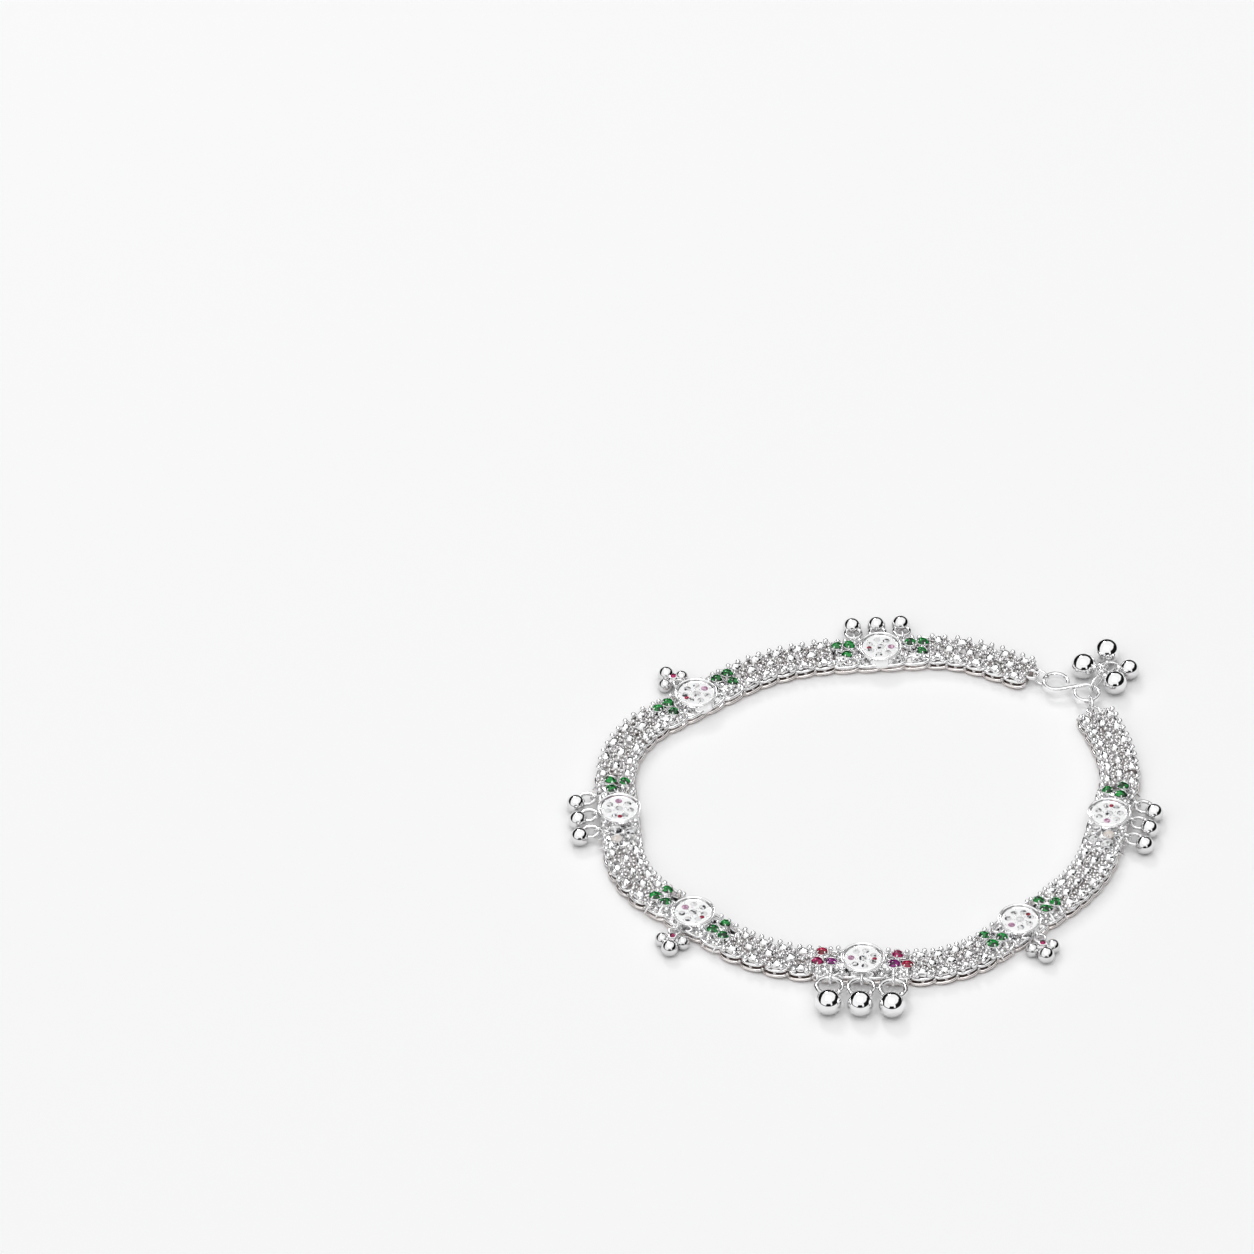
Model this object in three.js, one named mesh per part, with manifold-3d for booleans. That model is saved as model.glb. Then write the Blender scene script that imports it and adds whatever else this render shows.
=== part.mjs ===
// A silver payal anklet, lying on a flat surface as a closed loop.
// Seven cast stations with stones, bells and drops sit between eight lengths of woven band,
// and an S-shaped hook with a cluster of balls closes the loop. Millimetres, +Z up.
import * as THREE from "three";
import { mergeVertices } from "three/addons/utils/BufferGeometryUtils.js";
import Module from "manifold-3d";

const wasm = await Module();
wasm.setup();

// Driving dimensions of the whole loop.
const LOOP_LENGTH = 254; // once round the middle of the band and the clasp
const LINK_GAP = 0.15; // play between linked or neighbouring metal pieces
const SEAT_GAP = 0.1; // stones to the metal that carries them
const SOLDER = 0.2; // how far a soldered ring or eye sinks into its neighbour

// The route that the loop takes on the surface, in its own units, clockwise from the band's first end.
const ROUTE = [
  [37.8, 16.4], [40.9, 4.2], [40.5, -7.5], [37.2, -18.2], [28.7, -31.4], [15.1, -42.8],
  [-0.7, -45.3], [-16.0, -42.0], [-27.8, -34.8], [-37.2, -24.0], [-41.0, -8.6], [-40.3, 2.4],
  [-36.2, 12.3], [-27.9, 20.5], [-16.4, 27.1], [-3.3, 31.2], [9.9, 32.1], [21.4, 29.6],
  [31.5, 24.4],
];

// The stations, as shares of the loop's length from the band's first end. What hangs from them leans
// by so many degrees about the middle of its ring, towards the next station.
const STATIONS = [
  { share: 0.106, hangs: "small", lean: 22, far: "green", near: "clear" },
  { share: 0.227, hangs: "drop", lean: 28, far: "green", near: "green" },
  { share: 0.34, hangs: "large", lean: 0, far: "pink", near: "pink" },
  { share: 0.46, hangs: "drop", lean: -28, far: "green", near: "green" },
  { share: 0.575, hangs: "small", lean: -22, far: "clear", near: "green" },
  { share: 0.707, hangs: "drop", lean: 0, far: "green", near: "green" },
  { share: 0.839, hangs: "small", lean: 0, far: "green", near: "green" },
];

// Woven band.
const BAND_WIDTH = 7;
const BAND_BASE = 1.9; // thickness of the woven base under the domes
const DOME_RISE = 0.85; // the domes above the base
const LINK_PITCH = 3.3;
const SCALLOP = 0.55; // depth of the notch between two edge loops
const SHOULDER = 0.22; // where a lobe reaches full width, as a share of a link
const DOME_LENGTH = 2.3;
const DOME_WIDTH = 1.95;
const DOME_TOP = 0.5; // top of a dome, as a share of its foot
const ROW_PITCH = 2.15;

// Station: a straight plate with a round cup on it.
const PLATE_THICKNESS = 1.3;
const PLATE_LOBE = 3.875; // length of one lobe of its edges
const CUP_INSET = 0.2; // from the band's edge to the cup
const CUP_WALL = 0.35;
const CUP_TOP = 3.2;
const CUP_FLOOR = 1.95;
const EYE_HEIGHT = 1.9; // centre of the eyes that carry bells and drops

// Stones.
const FIELD_THICKNESS = 0.35;
const FIELD_STONE = 1.8;
const FIELD_EDGE = 0.1; // bed left free round the ring of stones
const FIELD_STONES = 6;
const CROWN_RISE = 0.4;
const TABLE = 0.56; // a stone's table, as a share of its diameter
const TRIO_SPACE = 0.45; // from the cup's wall to the stones beside it
const TRIO_OVERHANG = 0.8; // how far the stones reach past the plate's end
const TRIO_RING = 1.45;
const TRIO_BASE = 1.7;
const TRIO_BASE_THICKNESS = 0.4;
const TRIO_TOP = 3.3;
const TRIO_COLLET = 1; // foot of the collets
const TRIO_STONES = [
  { turn: 42, diameter: 1.9 },
  { turn: 140, diameter: 1.75 },
  { turn: 292, diameter: 1.65 },
];

// Bells: a ball with a ring soldered to it, which hangs in an eye.
const BELLS = {
  large: { ball: 4.3, ring: 4.2, wire: 0.7, eyeWire: 0.5, pitch: 5.1, sink: 0.3 },
  small: { ball: 3.1, ring: 2.6, wire: 0.52, eyeWire: 0.44, pitch: 4.06, sink: 0.83 },
};

// Drop: three balls round a small core.
const DROP_RING = 1.8;
const DROP_WIRE = 0.5;
const DROP_EYE_WIRE = 0.44;
const DROP_CORE = 1.9;
const DROP_BALL = 2.35;
const DROP_TIP = 2.75;
const DROP_SINK = 0.4; // how far the drop's balls sink into its core

// Clasp: band eyes, end rings, hook and the cluster of balls. Bearings are in degrees from +X.
const BAND_EYE = 2;
const BAND_EYE_WIRE = 0.55;
const BAND_EYE_OUT = 0.5; // the eye's centre beyond the band's end
const END_RING = 2.8;
const END_RING_WIRE = 0.5;
const HOOK_WIDTH = 4.6;
const HOOK_LENGTH = 10.4;
const HOOK_STRIP = 0.6;
const HOOK_HEIGHT = 1.2;
const HOOK_MOUTH = 58; // degrees left open between a loop's tip and the hook's middle
const FIRST_RING_BEARING = 103;
const HOOK_BEARING = 151;
const LAST_RING_BEARING = 151;
const CLUSTER_LINK_LENGTH = 6.1; // from the middle of the wire to the middle of the wire
const CLUSTER_LINK_WIRE = 0.5;
const CLUSTER_LINK_HEIGHT = 2.1;
const CLUSTER_RING_WIRE = 0.4;
const CLUSTER_BELLS = [
  { diameter: 4.3, along: 0.69, aside: 3.5, lies: false, place: 0.69 },
  { diameter: 4.3, along: 1.54, aside: 1.8, lies: true, place: 1, level: -0.26 },
  { diameter: 3.4, along: 1.24, aside: -3.3, lies: true, place: 1, level: 0.26 },
  { diameter: 4, along: 0.52, aside: -2.9, lies: false, place: 0.52 },
];

// Facets: sides round a ball, a link, its wire, a stone and a cup.
const BALL_SIDES = 10;
const CORE_SIDES = 8;
const LINK_SIDES = 10;
const EYE_SIDES = 8;
const FOOT_SIDES = 6;
const WIRE_SIDES = 5;
const STONE_SIDES = 8;
const CUP_SIDES = 10;
const HOOK_SIDES = 10;

// Finishes.
const silver = new THREE.MeshStandardMaterial({ color: 0xdcdcde, metalness: 1, roughness: 0.2 });
const stoneOf = {
  clear: new THREE.MeshStandardMaterial({ color: 0xe9e4e2, metalness: 0, roughness: 0.1 }),
  green: new THREE.MeshStandardMaterial({ color: 0x0d6b35, metalness: 0, roughness: 0.1 }),
  pink: new THREE.MeshStandardMaterial({ color: 0xc4145f, metalness: 0, roughness: 0.1 }),
};

// A closed geometry as a solid that can be joined.
function solidOf(geometry) {
  const bare = geometry.clone();
  bare.deleteAttribute("normal");
  bare.deleteAttribute("uv");
  const merged = mergeVertices(bare, 1e-4);
  return new wasm.Manifold(
    new wasm.Mesh({
      numProp: 3,
      vertProperties: new Float32Array(merged.attributes.position.array),
      triVerts: new Uint32Array(merged.index.array),
    }),
  );
}

// Several overlapping geometries soldered into one, with flat facets.
function soldered(...geometries) {
  const mesh = geometries
    .map(solidOf)
    .reduce((whole, next) => whole.add(next))
    .getMesh();
  const geometry = new THREE.BufferGeometry();
  geometry.setAttribute("position", new THREE.BufferAttribute(new Float32Array(mesh.vertProperties), 3));
  geometry.setIndex(new THREE.BufferAttribute(new Uint32Array(mesh.triVerts), 1));
  const faceted = geometry.toNonIndexed();
  faceted.computeVertexNormals();
  return faceted;
}

function named(name, geometry, material) {
  const mesh = new THREE.Mesh(geometry, material);
  mesh.name = name;
  return mesh;
}

// A ball that stands with its centre at a point.
function ball(diameter, x, y, z, sides = BALL_SIDES) {
  return new THREE.SphereGeometry(diameter / 2, sides, sides / 2)
    .rotateX(Math.PI / 2)
    .translate(x, y, z);
}

// A ring of round wire that lies flat round the origin; its diameter is taken at the middle of the wire.
function ring(diameter, wire, sides = LINK_SIDES) {
  return new THREE.TorusGeometry(diameter / 2, wire / 2, WIRE_SIDES, sides);
}

// A turned piece that stands on the origin: rows of radius and height, closed on the axis.
function turned(rows, sides) {
  const profile = rows.map(([radius, height]) => new THREE.Vector2(radius, height));
  return new THREE.LatheGeometry(profile, sides).rotateX(Math.PI / 2);
}

// A cut stone from its foot to its table, with its girdle below the crown.
function cutStone(diameter, foot, bottom, top) {
  return turned(
    [
      [0, bottom],
      [foot / 2, bottom],
      [diameter / 2, top - CROWN_RISE],
      [(diameter / 2) * TABLE, top],
      [0, top],
    ],
    STONE_SIDES,
  );
}

// A flat outline raised to a plate.
function raised(points, thickness) {
  return new THREE.ExtrudeGeometry(new THREE.Shape(points), { depth: thickness, bevelEnabled: false });
}

// The scalloped edge of a strip between two places on it, for lobes of equal length.
function scallops(lobes, at) {
  const rows = [at(0, SCALLOP)];
  for (let lobe = 0; lobe < lobes; lobe += 1) {
    rows.push(at((lobe + SHOULDER) / lobes, 0), at((lobe + 1 - SHOULDER) / lobes, 0));
    rows.push(at((lobe + 1) / lobes, SCALLOP));
  }
  return rows;
}

// The cup is as wide as the band allows and the field of stones fills it.
const cupRadius = BAND_WIDTH / 2 - CUP_INSET;
const fieldRadius = cupRadius - CUP_WALL - SEAT_GAP;
const fieldRing = fieldRadius - FIELD_EDGE - FIELD_STONE / 2;

// The trios stand clear of the cup, and the plate ends under their outer stones.
const trioReach = TRIO_RING + Math.max(...TRIO_STONES.map(({ diameter }) => diameter)) / 2;
const trioPlace = cupRadius + TRIO_SPACE + trioReach;
const plateLength = 2 * (trioPlace + trioReach - TRIO_OVERHANG);

function towards(bearing) {
  const turn = THREE.MathUtils.degToRad(bearing);
  return new THREE.Vector2(Math.cos(turn), Math.sin(turn));
}

// The route, scaled so that one turn of it has the loop's length.
const drawnRoute = new THREE.CatmullRomCurve3(
  ROUTE.map(([x, y]) => new THREE.Vector3(x, y, 0)),
  true,
  "catmullrom",
  0.5,
);
drawnRoute.arcLengthDivisions = 1000;
const routeScale = LOOP_LENGTH / drawnRoute.getLength();

function onRoute(length) {
  const point = drawnRoute.getPointAt(length / LOOP_LENGTH);
  return new THREE.Vector2(point.x, point.y).multiplyScalar(routeScale);
}

// Each station lies on the chord between its plate's two ends.
const places = STATIONS.map(({ share }) => {
  const from = onRoute(share * LOOP_LENGTH - plateLength / 2);
  const to = onRoute(share * LOOP_LENGTH + plateLength / 2);
  return { middle: from.clone().add(to).multiplyScalar(0.5), along: to.clone().sub(from).normalize() };
});

// The clasp, worked out from the band's first end backwards.
const eyeToHook = BAND_EYE / 2 - BAND_EYE_WIRE / 2 - END_RING_WIRE - 2 * LINK_GAP + END_RING;
const hookMiddle = HOOK_WIDTH / 2 - HOOK_STRIP / 2;
const hookReach = HOOK_LENGTH / 2 - HOOK_WIDTH / 2;
const ringHeight = END_RING / 2 + END_RING_WIRE / 2;
const clusterStart = hookMiddle - HOOK_STRIP / 2 - LINK_GAP - CLUSTER_LINK_WIRE / 2;
const firstEnd = onRoute(0);
const firstAlong = onRoute(LINK_PITCH).sub(firstEnd).normalize();
const firstEye = firstEnd.clone().addScaledVector(firstAlong, -BAND_EYE_OUT);
const loopDistance = eyeToHook - HOOK_STRIP / 2 + hookMiddle;
const firstLoop = firstEye.clone().addScaledVector(towards(FIRST_RING_BEARING), loopDistance);
const hookCentre = firstLoop.clone().addScaledVector(towards(HOOK_BEARING), hookReach);
const lastLoop = hookCentre.clone().addScaledVector(towards(HOOK_BEARING), hookReach);
const lastEye = lastLoop.clone().addScaledVector(towards(LAST_RING_BEARING), loopDistance);
const lastAlong = towards(LAST_RING_BEARING).negate();
const lastEnd = lastEye.clone().addScaledVector(lastAlong, -BAND_EYE_OUT);

// The two ends of each length of band, with the directions that it leaves and arrives in.
const plateReach = plateLength / 2 + LINK_GAP;
const plateEnd = (reach) => ({ middle, along }) => ({
  point: middle.clone().addScaledVector(along, reach),
  along,
});
const leaves = [{ point: firstEnd, along: firstAlong }, ...places.map(plateEnd(plateReach))];
const arrives = [...places.map(plateEnd(-plateReach)), { point: lastEnd, along: lastAlong }];

// The middle line of a length of band: a curve that keeps both end directions.
function bandCurve(start, end) {
  const pull = start.point.distanceTo(end.point) / 3;
  return new THREE.CubicBezierCurve(
    start.point,
    start.point.clone().addScaledVector(start.along, pull),
    end.point.clone().addScaledVector(end.along, -pull),
    end.point,
  );
}

// A point of the band at a share of its length and a distance to its outer side.
function bandPoint(curve, share, out) {
  const point = curve.getPointAt(share);
  const along = curve.getTangentAt(share);
  return new THREE.Vector2(point.x - along.y * out, point.y + along.x * out);
}

// One faceted dome of the band, turned to the band's direction.
function dome(curve, share, out) {
  const point = bandPoint(curve, share, out);
  const along = curve.getTangentAt(share);
  const side = Math.SQRT1_2;
  return new THREE.CylinderGeometry(side * DOME_TOP, side, DOME_RISE + SOLDER, 4)
    .rotateY(Math.PI / 4)
    .rotateX(Math.PI / 2)
    .scale(DOME_LENGTH, DOME_WIDTH, 1)
    .rotateZ(Math.atan2(along.y, along.x))
    .translate(point.x, point.y, BAND_BASE + (DOME_RISE - SOLDER) / 2);
}

// The eye at an outer end of the band, for an end ring.
function bandEye(centre) {
  return ring(BAND_EYE, BAND_EYE_WIRE, EYE_SIDES).translate(centre.x, centre.y, ringHeight);
}

// A foot that joins a band eye to the band's end.
function bandEyeFoot(end, inward) {
  const reach = BAND_EYE / 2 + SOLDER;
  return new THREE.BoxGeometry(reach, BAND_EYE, ringHeight)
    .translate(reach / 2 + (BAND_EYE - BAND_EYE_WIRE) / 2 - BAND_EYE_OUT, 0, ringHeight / 2)
    .rotateZ(Math.atan2(inward.y, inward.x))
    .translate(end.x, end.y, 0);
}

function band(index) {
  const curve = bandCurve(leaves[index], arrives[index]);
  const links = Math.max(2, Math.round(curve.getLength() / LINK_PITCH));
  const outer = scallops(links, (share, notch) => bandPoint(curve, share, BAND_WIDTH / 2 - notch));
  const inner = scallops(links, (share, notch) => bandPoint(curve, share, notch - BAND_WIDTH / 2));
  const pieces = [raised([...outer, ...inner.reverse()], BAND_BASE)];
  for (let link = 0; link < links; link += 1) {
    pieces.push(dome(curve, (link + 0.5) / links, ROW_PITCH), dome(curve, (link + 0.5) / links, -ROW_PITCH));
    if (link > 0) pieces.push(dome(curve, link / links, 0));
  }
  if (index === 0) {
    pieces.push(bandEye(firstEye), bandEyeFoot(firstEnd, firstAlong));
  }
  if (index === STATIONS.length) {
    pieces.push(bandEye(lastEye), bandEyeFoot(lastEnd, lastAlong.clone().negate()));
  }
  return named(`band_${index + 1}`, soldered(...pieces), silver);
}

// Where an eye stands so that a ring's wire clears the cup, and the eye's own diameter.
function eyePlace(wire) {
  return cupRadius + wire / 2 + LINK_GAP;
}

// An eye on the plate's outer edge, in the plane across the plate.
function plateEye(x, wire, eyeWire) {
  return ring(wire + eyeWire + 2 * LINK_GAP, eyeWire, EYE_SIDES)
    .rotateY(Math.PI / 2)
    .translate(x, eyePlace(wire), EYE_HEIGHT);
}

function bellPlaces(kind) {
  return [-1, 0, 1].map((step) => step * BELLS[kind].pitch);
}

function stationGeometry(hangs) {
  const half = BAND_WIDTH / 2;
  const edge = (side) => (share, notch) =>
    new THREE.Vector2((share - 0.5) * plateLength, side * (half - notch / 2));
  const lobes = Math.max(2, Math.round(plateLength / PLATE_LOBE));
  const outline = [...scallops(lobes, edge(1)).reverse(), ...scallops(lobes, edge(-1))];
  const cup = turned(
    [
      [0, PLATE_THICKNESS - SOLDER],
      [cupRadius, PLATE_THICKNESS - SOLDER],
      [cupRadius, CUP_TOP],
      [cupRadius - CUP_WALL, CUP_TOP],
      [cupRadius - CUP_WALL, CUP_FLOOR],
      [0, CUP_FLOOR],
    ],
    CUP_SIDES,
  );
  const bell = BELLS[hangs];
  const eyes = bell
    ? bellPlaces(hangs).map((x) => plateEye(x, bell.wire, bell.eyeWire))
    : [plateEye(0, DROP_WIRE, DROP_EYE_WIRE)];
  return soldered(raised(outline, PLATE_THICKNESS), cup, ...eyes);
}

// The field of clear stones that lies in the cup.
function crystalGeometry() {
  const bottom = CUP_FLOOR + SEAT_GAP;
  const top = bottom + FIELD_THICKNESS;
  const bed = new THREE.CylinderGeometry(fieldRadius, fieldRadius, FIELD_THICKNESS, CUP_SIDES)
    .rotateX(Math.PI / 2)
    .translate(0, 0, bottom + FIELD_THICKNESS / 2);
  const stone = () => cutStone(FIELD_STONE, FIELD_STONE * TABLE, bottom + SOLDER / 2, top + CROWN_RISE);
  const round = Array.from({ length: FIELD_STONES }, (_, index) => {
    const turn = (index / FIELD_STONES) * 2 * Math.PI;
    return stone().translate(fieldRing * Math.cos(turn), fieldRing * Math.sin(turn), 0);
  });
  return soldered(bed, stone(), ...round);
}

// Three stones on raised collets that grow out of one small foot.
function trioGeometry() {
  const bottom = PLATE_THICKNESS + SEAT_GAP;
  const foot = new THREE.CylinderGeometry(TRIO_BASE, TRIO_BASE, TRIO_BASE_THICKNESS, FOOT_SIDES)
    .rotateX(Math.PI / 2)
    .translate(0, 0, bottom + TRIO_BASE_THICKNESS / 2);
  const stones = TRIO_STONES.map(({ turn, diameter }) => {
    const place = towards(turn).multiplyScalar(TRIO_RING);
    return cutStone(diameter, TRIO_COLLET, bottom + SOLDER / 2, TRIO_TOP).translate(place.x, place.y, 0);
  });
  return soldered(foot, ...stones);
}

// A point that leans with what hangs, from the middle of its ring.
function leaning(lean, aside, out) {
  return new THREE.Vector2(aside, out).rotateAround(new THREE.Vector2(), -THREE.MathUtils.degToRad(lean));
}

// A bell in its station's frame: the ring hangs in the eye and the ball rests on the surface.
function bellGeometry({ ball: diameter, ring: across, wire, sink }, lean) {
  const inner = eyePlace(wire);
  const tilt = Math.atan2((diameter / 2 - EYE_HEIGHT) / 2, across);
  const loop = ring(across, wire)
    .rotateZ(Math.PI / 2)
    .translate(0, across / 2, 0)
    .rotateX(tilt)
    .translate(0, inner, EYE_HEIGHT);
  const place = leaning(lean, 0, (across + diameter) / 2 - sink);
  return soldered(loop, ball(diameter, place.x, inner + across / 2 + place.y, diameter / 2));
}

// A drop in its station's frame: two balls side by side and a larger one at the tip, round a core.
function dropGeometry(lean) {
  const middle = eyePlace(DROP_WIRE) + DROP_RING / 2;
  const core = (DROP_RING + DROP_CORE - DROP_SINK) / 2;
  const tip = core + (DROP_TIP + DROP_CORE) / 2 - DROP_SINK;
  const beside = (DROP_BALL + DROP_CORE) / 2 - DROP_SINK;
  const placed = (diameter, aside, out, height, sides) => {
    const place = leaning(lean, aside, out);
    return ball(diameter, place.x, middle + place.y, height, sides);
  };
  return soldered(
    ring(DROP_RING, DROP_WIRE).rotateZ(Math.PI / 2).translate(0, middle, EYE_HEIGHT),
    placed(DROP_CORE, 0, core, DROP_TIP / 2, CORE_SIDES),
    placed(DROP_BALL, beside, core, DROP_BALL / 2, CORE_SIDES),
    placed(DROP_BALL, -beside, core, DROP_BALL / 2, CORE_SIDES),
    placed(DROP_TIP, 0, tip, DROP_TIP / 2, BALL_SIDES),
  );
}

const stationShapes = {
  small: stationGeometry("small"),
  large: stationGeometry("large"),
  drop: stationGeometry("drop"),
};
const crystalShape = crystalGeometry();
const trioShape = trioGeometry();

// One station with all that it carries, lying along its chord with its outer side at +Y.
function station({ hangs, lean, far, near }, index) {
  const number = index + 1;
  const group = new THREE.Group();
  const { middle, along } = places[index];
  group.position.set(middle.x, middle.y, 0);
  group.rotation.z = Math.atan2(along.y, along.x);
  group.add(named(`station_${number}`, stationShapes[hangs], silver));
  group.add(named(`crystal_${number}`, crystalShape, stoneOf.clear));
  [far, near].forEach((colour, end) => {
    const trio = named(`trio_${number}${"ab"[end]}`, trioShape, stoneOf[colour]);
    trio.position.x = end ? trioPlace : -trioPlace;
    group.add(trio);
  });
  if (BELLS[hangs]) {
    const shape = bellGeometry(BELLS[hangs], lean);
    bellPlaces(hangs).forEach((x, place) => {
      const bell = named(`bell_${number}${"abc"[place]}`, shape, silver);
      bell.position.x = x;
      group.add(bell);
    });
  } else {
    group.add(named(`drop_${number}`, dropGeometry(lean), silver));
  }
  return group;
}

// A ring that stands on edge between a band eye and a hook loop.
function endRing(name, eye, bearing) {
  const inside = (BAND_EYE - BAND_EYE_WIRE - END_RING_WIRE) / 2 - LINK_GAP;
  const centre = eye.clone().addScaledVector(towards(bearing), inside + END_RING / 2);
  const mesh = named(name, soldered(ring(END_RING, END_RING_WIRE).rotateX(Math.PI / 2)), silver);
  mesh.position.set(centre.x, centre.y, ringHeight);
  mesh.rotation.z = THREE.MathUtils.degToRad(bearing);
  return mesh;
}

// The S-shaped hook: a strip on edge whose two loops open to opposite sides of a slanted middle.
function hook() {
  const slope = Math.asin(hookMiddle / hookReach);
  const sweep = 2 * Math.PI - THREE.MathUtils.degToRad(HOOK_MOUTH);
  const arc = (radius) =>
    Array.from({ length: HOOK_SIDES + 1 }, (_, step) => {
      const turn = slope + Math.PI / 2 - (sweep * step) / HOOK_SIDES;
      return new THREE.Vector2(hookReach + radius * Math.cos(turn), radius * Math.sin(turn));
    });
  const half = [...arc(hookMiddle + HOOK_STRIP / 2), ...arc(hookMiddle - HOOK_STRIP / 2).reverse()];
  const whole = [...half, ...half.map((point) => point.clone().negate())];
  const mesh = named("s_hook", soldered(raised(whole, HOOK_HEIGHT)), silver);
  mesh.position.set(hookCentre.x, hookCentre.y, ringHeight - HOOK_HEIGHT / 2);
  mesh.rotation.z = THREE.MathUtils.degToRad(HOOK_BEARING);
  return mesh;
}

// The long link that stands on edge through the hook's first loop, drawn out along X.
function clusterLinkGeometry() {
  const straight = (CLUSTER_LINK_LENGTH - CLUSTER_LINK_HEIGHT) / 2;
  const link = ring(CLUSTER_LINK_HEIGHT, CLUSTER_LINK_WIRE);
  const corners = link.getAttribute("position");
  for (let corner = 0; corner < corners.count; corner += 1) {
    const x = corners.getX(corner);
    corners.setX(corner, x + Math.sign(x) * straight);
  }
  return soldered(link.rotateX(Math.PI / 2).translate(clusterStart + CLUSTER_LINK_LENGTH / 2, 0, ringHeight));
}

// A ball whose ring hangs on the cluster's link, on its upper run or lying round its far end.
function clusterBellGeometry({ diameter, along, aside, lies, place, level = 0 }) {
  const radius = diameter / 2;
  const wire = new THREE.Vector2(clusterStart + place * CLUSTER_LINK_LENGTH, 0);
  const centre = new THREE.Vector2(clusterStart + along * CLUSTER_LINK_LENGTH, aside);
  const height = ringHeight + (lies ? level : CLUSTER_LINK_HEIGHT / 2);
  const surface = centre.distanceTo(wire) - Math.sqrt(radius ** 2 - (height - radius) ** 2);
  const near = (CLUSTER_LINK_WIRE + CLUSTER_RING_WIRE) / 2 + LINK_GAP;
  const far = surface + SOLDER - CLUSTER_RING_WIRE / 2;
  const loop = ring(near + far, CLUSTER_RING_WIRE);
  if (!lies) loop.rotateX(Math.PI / 2);
  loop.translate((far - near) / 2, 0, height).rotateZ(centre.clone().sub(wire).angle());
  return soldered(loop.translate(wire.x, wire.y, 0), ball(diameter, centre.x, centre.y, radius));
}

function cluster() {
  const group = new THREE.Group();
  group.position.set(firstLoop.x, firstLoop.y, 0);
  group.rotation.z = THREE.MathUtils.degToRad(HOOK_BEARING - 90);
  group.add(named("cluster_link", clusterLinkGeometry(), silver));
  CLUSTER_BELLS.forEach((bell, index) =>
    group.add(named(`cluster_bell_${index + 1}`, clusterBellGeometry(bell), silver)),
  );
  return group;
}

const anklet = new THREE.Group();
leaves.forEach((_, index) => anklet.add(band(index)));
STATIONS.forEach((row, index) => anklet.add(station(row, index)));
anklet.add(endRing("end_ring_1", firstEye, FIRST_RING_BEARING));
anklet.add(endRing("end_ring_2", lastEye, LAST_RING_BEARING + 180));
anklet.add(hook(), cluster());

// The origin is under the middle of the whole, on the surface that it lies on.
anklet.updateMatrixWorld(true);
const reachOfAll = new THREE.Box3().setFromObject(anklet, true);
const middleOfAll = reachOfAll.getCenter(new THREE.Vector3());
anklet.position.set(-middleOfAll.x, -middleOfAll.y, -reachOfAll.min.z);

export default anklet;
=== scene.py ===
"""Visual model of a payal anklet that lies on a white surface, for Blender 4.5.

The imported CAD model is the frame: every piece here stands for one of its nodes, in its place.
Shapes are worked out in millimetres and written in metres.
"""

from __future__ import annotations

import logging
import math
from collections.abc import Iterable, Sequence
from dataclasses import dataclass
from enum import Enum
from itertools import product

import bpy
import numpy as np
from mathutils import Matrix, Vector

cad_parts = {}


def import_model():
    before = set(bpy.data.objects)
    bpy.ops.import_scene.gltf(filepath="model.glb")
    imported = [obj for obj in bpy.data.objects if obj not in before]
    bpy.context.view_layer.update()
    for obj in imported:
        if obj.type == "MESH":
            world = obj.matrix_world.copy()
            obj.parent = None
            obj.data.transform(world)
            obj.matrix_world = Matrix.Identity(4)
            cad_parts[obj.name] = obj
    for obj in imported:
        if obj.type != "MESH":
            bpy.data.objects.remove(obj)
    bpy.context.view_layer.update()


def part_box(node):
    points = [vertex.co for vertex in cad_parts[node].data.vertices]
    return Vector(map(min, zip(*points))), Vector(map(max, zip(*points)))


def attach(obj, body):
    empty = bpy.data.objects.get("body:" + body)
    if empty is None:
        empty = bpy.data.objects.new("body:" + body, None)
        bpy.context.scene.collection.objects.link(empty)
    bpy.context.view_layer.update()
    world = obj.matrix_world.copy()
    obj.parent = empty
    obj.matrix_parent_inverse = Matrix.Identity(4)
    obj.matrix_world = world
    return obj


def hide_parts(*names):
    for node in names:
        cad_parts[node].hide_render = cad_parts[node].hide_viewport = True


log = logging.getLogger("anklet")

MM = 0.001
BODY = "root"
SEED = 7


# Places and turns


def _turn(first: int, second: int, degrees: float) -> np.ndarray:
    """A turn from one axis towards another as a 4 x 4 matrix."""
    c, s = math.cos(math.radians(degrees)), math.sin(math.radians(degrees))
    matrix = np.eye(4)
    matrix[first, first] = matrix[second, second] = c
    matrix[second, first], matrix[first, second] = s, -s
    return matrix


def turn_x(degrees: float) -> np.ndarray:
    """A turn about X."""
    return _turn(1, 2, degrees)


def turn_y(degrees: float) -> np.ndarray:
    """A turn about Y."""
    return _turn(2, 0, degrees)


def turn_z(degrees: float) -> np.ndarray:
    """A turn about Z."""
    return _turn(0, 1, degrees)


def tilted(lean: Sequence[float], bearing: float) -> np.ndarray:
    """A turn about Z, followed by small leans about Y and X."""
    return turn_x(lean[0]) @ turn_y(lean[1]) @ turn_z(bearing)


def shift(x: float = 0, y: float = 0, z: float = 0) -> np.ndarray:
    """A move as a 4 x 4 matrix."""
    matrix = np.eye(4)
    matrix[:3, 3] = x, y, z
    return matrix


def towards(bearing: float) -> np.ndarray:
    """The flat direction at a bearing in degrees from +X."""
    return np.array([math.cos(math.radians(bearing)), math.sin(math.radians(bearing))])


def bearing_of(direction: Sequence[float]) -> float:
    """The bearing of a flat direction, in degrees from +X."""
    return math.degrees(math.atan2(direction[1], direction[0]))


def unit(rows: np.ndarray) -> np.ndarray:
    """One direction or rows of them, each made one long."""
    return rows / np.linalg.norm(rows, axis=-1, keepdims=True)


def left_of(along: np.ndarray) -> np.ndarray:
    """Flat directions turned a quarter to the left."""
    return along @ np.array([[0, 1], [-1, 0]])


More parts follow.
